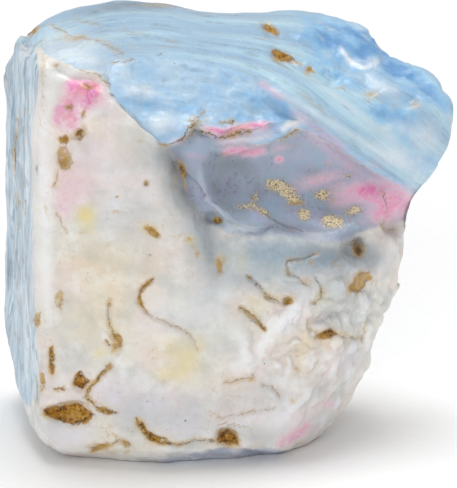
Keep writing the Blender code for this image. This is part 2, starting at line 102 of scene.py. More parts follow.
# Values between which a share rises from 0 to 1. The first two say how squarely a
# surface must face a standpoint to take its forms and its colours.
FORM_WINDOW = (0.02, 0.3)
COLOUR_WINDOW = (-0.05, 0.2)
STEP_TOP = (-0.25, 0.15)
STEP_FOOT = (-0.15, 0.25)
BACKWARD = np.array([0.55, 0.83, 0.0])
BACK_BREAK = (14.8, 17.6)
BACK_TURN = (0.15, 0.6)
FLUTED_TURN = (0.55, 0.9)
LEFT_TURN = (0.45, 0.8)
LEFT_FADE_ACROSS = (-62.0, -50.0)
LEFT_FADE_DOWN = (-424.0, -392.0)
TOP_RISE = (-0.2, 0.6)
HOLLOW_RISE = (0.0, 0.8)
FACET_RISE = (0.0, 0.8)
DEEP_RISE = (0.05, 0.5)
CHIP_RISE = (-0.12, 0.3)

# Rolling noise: strength, distance between humps in millimetres, octaves, shift, and how
# the axes are drawn together first.
EVEN = (1.0, 1.0, 1.0)
SEED_SHIFT = Vector((11.0, 4.0, 7.0))
ROLL_FALL = 0.8
ROLL_GAP = 2.0
ROLLS = {
    "broken_surface": (0.28, 7.0, 2, 1.0, EVEN),
    "back_knobs": (0.55, 4.4, 2, 2.0, EVEN),
    "left_flutes": (0.12, 1.9, 3, 3.0, (1.0, 1.0, 0.16)),
    "fine_roll": (0.05, 1.6, 2, 4.0, EVEN),
    "top_bands": (0.09, 0.9, 2, 5.0, (0.05, 1.0, 0.0)),
    "upper_right_knobs": (0.26, 1.5, 3, 6.0, EVEN),
    "left_fibres": (0.08, 0.8, 2, 7.0, (1.0, 1.0, 0.15)),
    "scabs": (1.0, 0.7, 2, 8.0, EVEN),
    "shake_across": (1.5, 1.2, 2, 9.0, EVEN),
    "shake_down": (1.5, 1.2, 2, 10.0, EVEN),
    "facet_ripples": (0.2, 1.5, 3, 11.0, (0.7, 1.0, 1.3)),
    "stray_across": (30.0, 6.5, 2, 12.0, EVEN),
    "stray_down": (30.0, 6.5, 2, 13.0, EVEN),
    "curds": (2.2, 3.6, 3, 15.0, EVEN),
    "milk": (0.35, 2.6, 3, 16.0, EVEN),
}
CURD_MIDDLE = 0.42
FAN_WIDTH = 12.0

# Heights and depths of the fine relief, in millimetres.
FOLD_RISE = 0.55
SCAB_RISE = 0.14
PINK_SCAB_RISE = 0.08
WHITE_RISE = 0.1
GOLD_RISE = 0.05
RUST_PIT = 0.22
DARK_PIT = 0.25
CHIP_PIT = 0.3
HAIR_CRACK = 0.07
HAIR_CRACK_WIDTH = 0.2

# The colour fields that each attribute of the skin carries.
FIELDS = {
    "edges": ("blue_away", "ribbon_away", "hollow_in"),
    "tints": ("pink", "yellow", "white_and_highlight"),
    "stains": ("rust", "gold", "dark"),
    "blues": ("deep", "under", "foot"),
    "greys": ("grey", "leftward", "warm"),
    "bands": ("along", "across", "lumps"),
    "lines": ("line", "force", "smoke"),
    "chips": ("chip", "chip_rust", "lavender"),
}

# Grain of the stone: scale, detail, roughness and bend, then how the axes are drawn
# together and shifted. Millimetres are the measure, and BAND_GRAINS follow the bands.
STILL = (0.0, 0.0, 0.0)
GRAINS = {
    "cloud": (0.14, 3.0, 0.5, 0.0, EVEN, STILL),
    "veil": (0.42, 4.0, 0.5, 0.0, EVEN, (31.0, 7.0, 3.0)),
    "patch": (0.2, 3.0, 0.5, 0.2, EVEN, (3.0, 17.0, 43.0)),
    "fine": (1.7, 4.0, 0.6, 0.0, EVEN, STILL),
    "speck": (5.0, 3.0, 0.65, 0.0, EVEN, STILL),
    "crumbs": (11.0, 2.0, 0.7, 0.0, EVEN, STILL),
    "grit": (4.2, 2.0, 0.6, 0.0, EVEN, (4.0, 6.0, 2.0)),
    "milky": (0.3, 3.0, 0.5, 0.5, (0.5, 1.0, 1.0), STILL),
    "mottle": (0.3, 4.0, 0.52, 0.1, EVEN, STILL),
    "curds": (0.36, 4.0, 0.5, 0.0, EVEN, (9.0, 2.0, 8.0)),
    "fibres": (0.62, 5.0, 0.62, 1.0, (1.0, 1.0, 0.14), STILL),
    "flecks": (1.1, 4.0, 0.6, 0.0, (1.0, 1.0, 0.22), (5.0, 9.0, 2.0)),
    "hair": (0.16, 3.0, 0.5, 1.2, EVEN, (7.0, 1.0, 5.0)),
}
BAND_GRAINS = {
    "streaks": (1.0, 5.0, 0.58, 0.15, (0.03, 0.42, 0.0), STILL),
    "threads": (1.0, 3.0, 0.5, 0.1, (0.03, 0.9, 0.0), STILL),
}
PIT_SPACING = 0.36
BUMP_STRENGTH = 0.6
BUMP_DISTANCE = 0.0003

SENSOR = 36.0
VIEW_ZOOM = 1.005
LOOK_AT = (0.000375, 0.0, 0.0236)
CLIPPING = (0.01, 10.0)
FLOOR_GAP = 0.00005
FLOOR_TOOTH = 900.0
FLOOR_SHADE = (0.94, 0.94, 0.94)
OVERHEAD_FROM = (0.0, 0.17, 1.0)
OVERHEAD_SPREAD = math.radians(32.0)
KEY_FROM = (-0.25, -1.0, 0.4)
KEY_SPREAD = math.radians(26.0)

# Corners of the block before carving, across, back and up from the middle of the base.
CORNERS = {
    "base_front_left": (-19.4, -12.2, -0.6),
    "base_front_middle": (-7.6, -14.8, -0.6),
    "base_front_right": (7.2, -11.6, -0.6),
    "base_right": (10.6, -6.5, -0.6),
    "base_back_right": (9.0, 10.0, -0.6),
    "base_back_left": (-19.0, 12.0, -0.6),
    "foot_left": (-24.0, -11.0, 2.0),
    "foot_front_left": (-20.8, -16.0, 1.7),
    "foot_front_middle": (-8.0, -18.6, 1.9),
    "foot_front_right": (6.9, -14.8, 1.5),
    "foot_left_high": (-26.2, -5.0, 5.4),
    "left_low_back": (-29.0, 10.0, 8.8),
    "left_low_rear": (-26.6, 15.0, 9.4),
    "left_high_back": (-29.0, 11.0, 43.0),
    "left_shoulder": (-27.3, 4.0, 48.5),
    "left_crest": (-23.6, -4.0, 53.2),
    "front_left_low": (-23.2, -16.2, 6.0),
    "front_left_top": (-23.0, -15.6, 50.3),
    "front_left_knee": (-17.5, -17.6, 47.5),
    "crest_one": (-21.2, 2.0, 53.4),
    "crest_two": (-18.4, 7.0, 53.2),
    "crest_three": (-13.7, 12.0, 52.9),
    "crest_four": (-8.1, 14.5, 52.3),
    "crest_five": (0.1, 16.5, 50.6),
    "crest_six": (11.2, 16.5, 50.4),
    "crest_seven": (17.1, 15.0, 50.0),
    "crest_eight": (20.8, 13.0, 46.4),
    "crest_nine": (26.5, 8.4, 43.9),
    "right_tip_top": (29.5, 3.6, 42.4),
    "right_tip": (28.6, 1.0, 37.6),
    "right_flank": (23.6, 0.0, 30.3),
    "right_waist": (21.9, 0.0, 20.6),
    "right_low": (20.0, -2.0, 14.0),
    "right_lower": (18.2, -3.0, 9.1),
    "right_foot": (14.8, -6.0, 3.0),
    "rim_left": (-14.1, -17.6, 47.0),
    "rim_point": (-8.2, -18.2, 41.5),
    "rim_middle": (-3.5, -13.4, 42.4),
    "rim_crest": (7.4, -8.4, 42.1),
    "rim_right": (14.8, -6.4, 37.9),
    "rim_end": (23.2, -3.0, 31.8),
    "shoulder_left": (-13.6, -12.6, 50.3),
    "shoulder_middle": (4.0, -5.4, 46.6),
    "shoulder_right": (12.4, -3.4, 41.7),
    "front_middle": (-7.0, -19.2, 22.0),
    "front_low": (-8.0, -19.4, 7.0),
    "front_right_high": (9.0, -16.0, 24.0),
    "front_right": (13.0, -13.5, 15.0),
    "front_right_low": (7.5, -15.8, 6.0),
    "back_left_high": (-24.0, 16.0, 40.0),
    "back_left_low": (-22.0, 17.8, 9.0),
    "back_middle_high": (-4.0, 18.5, 42.0),
    "back_middle_low": (-3.0, 18.0, 10.0),
    "back_right_high": (18.0, 16.5, 38.0),
    "back_right_middle": (19.0, 13.0, 22.0),
    "back_right_low": (12.0, 12.0, 7.0),
}

# Humps and dents felt from every side: centre, half axes and height, in millimetres.
SPACE_SWELLS = {
    "crest_notch": ((21.4, 12.0, 46.8), (3.6, 6.0, 3.6), -1.6),
    "right_notch": ((26.0, -1.0, 28.2), (6.0, 8.0, 5.4), -1.2),
    "crest_dip": ((-1.0, 17.0, 51.0), (6.0, 7.0, 4.0), -1.1),
    "left_dip": ((-29.0, 10.0, 26.0), (5.0, 9.0, 9.0), -0.4),
    "left_corner": ((-28.0, 5.0, 48.4), (4.0, 5.0, 2.6), -0.7),
    "left_hollow": ((-29.0, 9.0, 38.6), (4.0, 8.0, 4.2), -0.6),
    "back_hollow": ((2.0, 19.0, 24.0), (9.0, 5.0, 7.0), -2.2),
    "back_shoulder": ((-16.0, 18.0, 33.0), (7.0, 5.0, 8.0), 1.2),
    "back_foot": ((10.0, 14.0, 8.0), (7.0, 6.0, 5.0), -1.6),
    "right_bulge": ((22.0, 9.0, 33.0), (6.0, 6.0, 6.0), 1.3),
    "right_ledge": ((19.5, 13.0, 16.5), (5.0, 6.0, 4.5), -1.2),
}

# Hollows broken out of the seen side: place in the picture, half axes, turn, depth and
# how softly the rim turns over.
BOWLS = {
    "shell_hollow": ((308, 186), (13.6, 6.6), 9, 3.0, 0.17),
    "lens": ((240, 190), (4.6, 5.3), -12, 1.0, 0.3),
    "second_shell": ((312, 194), (6.2, 5.4), 10, 0.6, 0.3),
    "blue_break": ((204, 98), (12.4, 4.4), 8, 0.8, 0.12),
    "upper_blue_break": ((350, 78), (9.0, 5.0), 24, 0.7, 0.15),
}

# Humps and dents of the seen side: place in the picture, half axes, turn and height.
SWELLS = {
    "valley_mouth": ((184, 178), (2.0, 4.4), -20, -1.3),
    "valley_middle": ((203, 214), (1.6, 4.2), -24, -0.9),
    "valley_foot": ((217, 250), (1.5, 4.6), -8, -1.1),
    "hollow_pit": ((183, 171), (0.6, 1.3), -10, -0.7),
    "hollow_pit_low": ((218, 224), (0.7, 0.6), 0, -0.7),
    "crest_of_swirl": ((285, 324), (3.8, 1.1), -47, 0.75),
    "swirl_hump": ((243, 343), (1.2, 1.6), 0, 0.4),
    "swirl_hump_low": ((249, 366), (1.7, 1.4), 0, 0.5),
    "middle_hump": ((224, 302), (2.2, 4.6), -6, 0.55),
    "crack_shoulder": ((163, 333), (2.0, 1.0), 30, 0.35),
    "right_hump": ((309, 350), (1.9, 2.8), 10, 0.55),
    "right_hump_two": ((336, 358), (2.0, 1.5), -20, 0.45),
    "right_hump_three": ((346, 300), (2.4, 1.9), -30, 0.55),
    "right_hump_four": ((335, 272), (2.2, 1.5), 20, 0.4),
    "right_hump_low": ((302, 384), (2.6, 1.8), 0, 0.45),
    "right_dent": ((326, 325), (2.6, 1.0), -18, -0.6),
    "right_dent_low": ((283, 366), (1.1, 2.6), 10, -0.4),
    "middle_dent": ((256, 314), (2.4, 1.3), 35, -0.4),
    "front_left_flat": ((90, 300), (6.0, 9.0), 0, 0.25),
    "low_front_hollow": ((190, 405), (10.0, 2.2), 2, -0.35),
    "low_front_hump": ((180, 428), (8.0, 1.6), 4, 0.35),
    "foot_hump": ((85, 442), (5.0, 1.6), 6, 0.5),
    "round_pit": ((359, 250), (1.3, 1.3), 0, -1.1),
    "round_pit_brow": ((356, 236), (2.0, 0.7), 8, 0.3),
    "edge_notch": ((402, 228), (1.2, 1.2), 0, -0.8),
    "ring_dent": ((365, 286), (1.0, 1.3), 20, -0.35),
    "lip_arch": ((230, 444), (1.1, 1.0), 0, -1.1),
    "ochre_cavity": ((70, 418), (2.9, 1.2), 2, -1.0),
    "ochre_star": ((81, 387), (0.8, 1.1), 0, -0.6),
    "pink_knob": ((72, 112), (1.9, 3.2), 14, 0.5),
    "pink_pit": ((70, 109), (0.6, 0.5), 0, -0.4),
    "pink_pit_low": ((78, 137), (1.2, 0.45), -12, -0.5),
    "brown_pit": ((63, 160), (0.6, 1.3), 0, -0.4),
    "seed_pit": ((147, 185), (0.4, 0.5), 0, -0.35),
    "crest_pit": ((273, 30), (0.7, 1.2), -30, -0.5),
    "crest_pit_low": ((284, 55), (1.7, 0.7), 25, -0.6),
    "corner_dome": ((78, 50), (3.6, 2.2), 10, 0.45),
    "corner_dent": ((112, 66), (1.6, 1.0), -10, -0.5),
    "blue_hump": ((137, 92), (1.8, 1.2), 0, 0.35),
    "blue_hump_low": ((166, 128), (1.8, 1.4), 20, 0.35),
    "blue_dent": ((150, 106), (2.2, 1.0), 15, -0.25),
    "white_crest": ((292, 124), (2.4, 0.7), -14, 0.45),
    "shell_hump": ((322, 172), (3.0, 3.4), 0, 0.5),
    "pink_shoulder": ((380, 190), (3.4, 1.6), 30, 0.5),
    "knob_one": ((386, 88), (2.2, 1.0), 10, 0.45),
    "knob_two": ((352, 60), (1.2, 0.7), 0, -0.35),
    "knob_three": ((331, 71), (1.6, 0.9), 0, -0.45),
    "knob_four": ((367, 50), (2.2, 1.4), 0, 0.45),
    "knob_five": ((367, 51), (1.3, 0.8), 0, -0.5),
    "knob_six": ((424, 112), (2.0, 1.6), 30, 0.45),
    "knob_seven": ((410, 96), (1.3, 0.8), 0, -0.4),
    "knob_eight": ((309, 36), (1.8, 0.8), -15, 0.4),
    "knob_nine": ((398, 70), (1.5, 0.8), 30, -0.35),
    "knob_ten": ((437, 132), (1.2, 1.4), 0, -0.35),
}

# Narrow cracks: path in the picture, half width and depth.
GROOVES = {
    "edge_crack": (
        [(108, 76), (109, 90), (112, 98), (120, 107), (134, 119), (147, 132), (160, 144)],
        0.5, 0.75,
    ),
    "pink_crack": (
        [(85, 106), (84, 120), (83, 132), (77, 139), (66, 140), (62, 150), (60, 172)],
        0.5, 0.55,
    ),
    "left_crack": ([(58, 170), (57, 182), (53, 192), (56, 214), (68, 238)], 0.45, 0.3),
    "vein": ([(111, 300), (109, 318), (113, 338), (121, 347), (119, 356), (112, 366)], 0.5, 0.5),
    "vein_side": ([(105, 343), (112, 351)], 0.4, 0.3),
    "vein_low": (
        [(112, 366), (98, 384), (86, 398), (92, 405), (100, 412), (111, 417), (119, 418)],
        0.5, 0.55,
    ),
    "hook": ([(157, 278), (150, 286), (141, 294), (140, 304), (146, 315), (156, 321)], 0.5, 0.6),
    "hook_tail": ([(150, 319), (171, 328), (185, 335), (196, 345), (200, 358)], 0.5, 0.35),
    "swirl_one": (
        [(247, 276), (255, 284), (262, 290), (270, 299), (280, 305), (288, 307), (297, 303)],
        0.5, 0.7,
    ),
    "swirl_two": ([(240, 309), (248, 315), (257, 320), (262, 328), (268, 336)], 0.5, 0.6),
    "swirl_three": (
        [(320, 257), (306, 262), (291, 265), (292, 276), (303, 282), (313, 291)],
        0.5, 0.6,
    ),
    "swirl_three_arm": ([(316, 278), (322, 287), (325, 297), (315, 309)], 0.5, 0.5),
    "swirl_four": (
        [(319, 341), (326, 336), (337, 334), (342, 340), (352, 341), (366, 343)],
        0.5, 0.65,
    ),
    "swirl_five": ([(354, 306), (344, 317), (333, 321), (322, 326)], 0.7, 0.6),
    "swirl_six": ([(216, 377), (226, 376), (236, 372)], 0.45, 0.4),
    "swirl_seven": ([(222, 386), (243, 384), (253, 382), (258, 376)], 0.45, 0.5),
    "swirl_eight": ([(262, 390), (272, 390), (279, 396), (282, 403)], 0.45, 0.45),
    "fold": ([(303, 345), (298, 358), (300, 374)], 0.8, 0.4),
    "low_crack": ([(216, 425), (240, 419), (262, 415), (282, 412)], 0.45, 0.35),
    "left_ridge_crack": ([(50, 348), (52, 362), (54, 378)], 0.5, 0.55),
    "left_foot_crack": ([(56, 394), (70, 393), (84, 396)], 0.45, 0.35),
    "right_strip": (
        [(398, 280), (391, 297), (383, 308), (371, 323), (366, 336), (365, 348)],
        0.7, 1.0,
    ),
    "foot_crack": ([(86, 453), (100, 451), (112, 449), (122, 444), (132, 452)], 0.5, 0.45),
}

# Broken steps: path in the picture with the standing side on the right hand, rise,
# drop and how far either side takes to settle.
LEDGES = {
    "front_brow": ([(108, 90), (122, 108), (136, 121), (149, 134), (168, 152)], 0.25, 0.35, 1.6),
    "corner_brow": ([(110, 90), (103, 82), (92, 78), (76, 77), (62, 70), (48, 62)], 0.3, 0.4, 1.2),
    "blue_ledge": (
        [
            (304, 121), (276, 126), (255, 133), (236, 131), (222, 137), (208, 133), (198, 127),
            (188, 138), (168, 148),
        ],
        0.45, 0.55, 1.3,
    ),
    "pink_ledge": ([(304, 128), (288, 139), (262, 149), (240, 154), (212, 150)], 0.35, 0.5, 1.2),
    "pink_ridge": (
        [
            (424, 196), (400, 184), (376, 168), (350, 150), (331, 136), (315, 124), (290, 105),
            (262, 83),
        ],
        0.35, 1.1, 2.8,
    ),
    "lens_rim": (
        [(290, 222), (268, 231), (250, 232), (228, 224), (212, 206), (204, 185), (201, 158)],
        0.25, 0.35, 2.4,
    ),
    "shell_rim": ([(262, 160), (266, 185), (273, 205), (290, 222), (320, 235)], 0.06, 0.08, 1.5),
    "foot_ledge": (
        [
            (222, 447), (200, 445), (184, 449), (172, 449), (158, 445), (148, 440), (141, 430),
            (135, 421),
        ],
        0.3, 0.7, 1.6,
    ),
    "lip_ledge": ([(300, 452), (268, 457), (240, 452)], 0.2, 0.4, 1.2),
    "cavity_brow": ([(92, 414), (82, 408), (64, 409), (44, 414)], 0.25, 0.6, 1.0),
}

# The sides away from the photo's view carry the same kinds of breaks, placed the same
# way from standpoints behind the stone and to its right and left.
BACK_BOWLS = {
    "back_shell": ((150, 190), (9.5, 6.5), -15, 1.9, 0.12),
    "back_shell_small": ((262, 140), (5.4, 3.8), 20, 0.9, 0.12),
    "back_low_shell": ((320, 335), (8.0, 7.0), 15, 1.4, 0.12),
    "back_corner_break": ((398, 150), (4.2, 8.0), 5, 0.9, 0.15),
    "back_foot_break": ((170, 385), (5.0, 4.0), 30, 1.0, 0.12),
}
BACK_SWELLS = {
    "back_lump_one": ((222, 250), (3.2, 2.0), 12, 0.7),
    "back_lump_two": ((285, 222), (2.4, 3.6), -20, 0.6),
    "back_lump_three": ((182, 300), (3.6, 2.2), 32, 0.7),
    "back_lump_four": ((352, 236), (2.0, 4.4), 0, 0.5),
    "back_lump_five": ((262, 396), (4.4, 2.0), 5, 0.6),
    "back_lump_six": ((118, 128), (2.2, 2.2), 0, 0.5),
    "back_pit_one": ((240, 205), (0.9, 1.2), 0, -0.7),
    "back_pit_two": ((365, 400), (1.4, 0.9), 20, -0.6),
    "back_pit_three": ((110, 250), (1.0, 1.6), 20, -0.6),
}
BACK_GROOVES = {
    "back_crack": (
        [(88, 118), (140, 142), (188, 205), (212, 262), (262, 300), (296, 370), (332, 436)],
        0.6, 0.7,
    ),
    "back_crack_side": ([(212, 262), (176, 300), (160, 352)], 0.55, 0.5),
    "back_vein": ([(334, 86), (352, 150), (344, 212), (372, 262), (392, 330)], 0.55, 0.5),
}
BACK_LEDGES = {
    "back_step": (
        [(112, 92), (172, 112), (240, 98), (300, 118), (360, 134), (430, 108)],
        0.12, 0.7, 2.4,
    ),
    "back_low_step": ([(200, 424), (268, 396), (330, 404), (404, 380)], 0.12, 0.7, 2.4),
}
RIGHT_BOWLS = {
    "right_shell": ((266, 262), (5.4, 7.0), 12, 0.9, 0.2),
    "right_low_shell": ((262, 380), (5.0, 4.6), -10, 1.0, 0.12),
    "right_top_shell": ((300, 150), (4.6, 4.0), 20, 0.8, 0.12),
}
RIGHT_SWELLS = {
    "right_lump_one": ((180, 250), (1.8, 3.0), 0, 0.5),
    "right_lump_two": ((282, 238), (2.0, 2.4), 0, 0.5),
    "right_lump_three": ((212, 336), (2.6, 1.6), 10, 0.35),
    "right_pit": ((300, 300), (1.0, 1.4), 0, -0.6),
}
RIGHT_GROOVES = {
    "right_crack": ([(222, 222), (226, 262), (252, 318), (262, 372)], 0.6, 0.6),
}
RIGHT_LEDGES = {
    "right_step": ([(236, 336), (262, 332), (292, 322), (330, 336)], 0.12, 0.6, 2.4),
}
LEFT_BOWLS = {
    "left_shell": ((150, 350), (4.4, 7.0), 6, 0.7, 0.15),
    "left_top_chip": ((262, 60), (4.0, 2.4), 8, 0.4, 0.4),
}
LEFT_SWELLS = {
    "left_lump": ((200, 200), (2.0, 7.0), 2, 0.4),
    "left_pit": ((176, 262), (0.7, 2.2), 0, -0.5),
}
LEFT_GROOVES = {
    "left_flute": ([(214, 60), (218, 150), (208, 250), (216, 360)], 0.6, 0.5),
    "left_flute_two": ([(262, 110), (258, 190), (266, 290)], 0.55, 0.4),
    "left_flute_three": ([(156, 90), (160, 170), (150, 260)], 0.55, 0.45),
}
LEFT_LEDGES = {
    "left_step": ([(120, 120), (150, 96), (200, 82), (250, 92), (290, 84)], 0.08, 0.4, 2.0),
}
SIDES = (
    (0.0, BOWLS, SWELLS, GROOVES, LEDGES),
    (180.0, BACK_BOWLS, BACK_SWELLS, BACK_GROOVES, BACK_LEDGES),
    (80.0, RIGHT_BOWLS, RIGHT_SWELLS, RIGHT_GROOVES, RIGHT_LEDGES),
    (280.0, LEFT_BOWLS, LEFT_SWELLS, LEFT_GROOVES, LEFT_LEDGES),
)

# Where the stone changes colour. A line's right-hand side, walked in the order given,
# is the side that it marks off.
BLUE_EDGE = [
    (-60, 36), (30, 46), (46, 56), (62, 63), (76, 70), (92, 73), (103, 79), (110, 92), (122, 108),
    (136, 121), (149, 134), (168, 149), (184, 141), (196, 129), (210, 134), (222, 139), (236, 136),
    (250, 143), (266, 146), (284, 140), (300, 130), (320, 138), (345, 152), (376, 172), (402, 188),
    (424, 200), (540, 222),
]
RIBBON_EDGE = [
    (-60, 96), (60, 90), (104, 80), (112, 66), (135, 60), (180, 61), (225, 68), (262, 82),
    (290, 104), (315, 123), (345, 146), (376, 167), (402, 184), (424, 196), (540, 218),
]
CREST_LINE = [
    (-60, 64), (14, 46), (34, 24), (66, 12), (110, 1), (165, 0), (205, 10), (262, 12), (300, 12),
    (345, 22), (368, 42), (402, 68), (430, 88), (446, 112), (540, 230),
]
HOLLOW_LIP = [
    (168, 149), (177, 163), (183, 185), (196, 208), (212, 226), (232, 236), (256, 239), (285, 238),
    (318, 243), (345, 243), (372, 232), (398, 224), (440, 214),
]
FOOT_EDGE = [
    (150, 500), (162, 466), (182, 460), (202, 456), (224, 452), (250, 453), (290, 455), (320, 470),
]

# The pale ridge between the cream front and the blue left face: path, half width and
# strength.
LEFT_RIDGE = (
    [(42, 52), (40, 90), (38, 130), (38, 200), (39, 280), (43, 350), (52, 430)],
    7.5, 0.9,
)

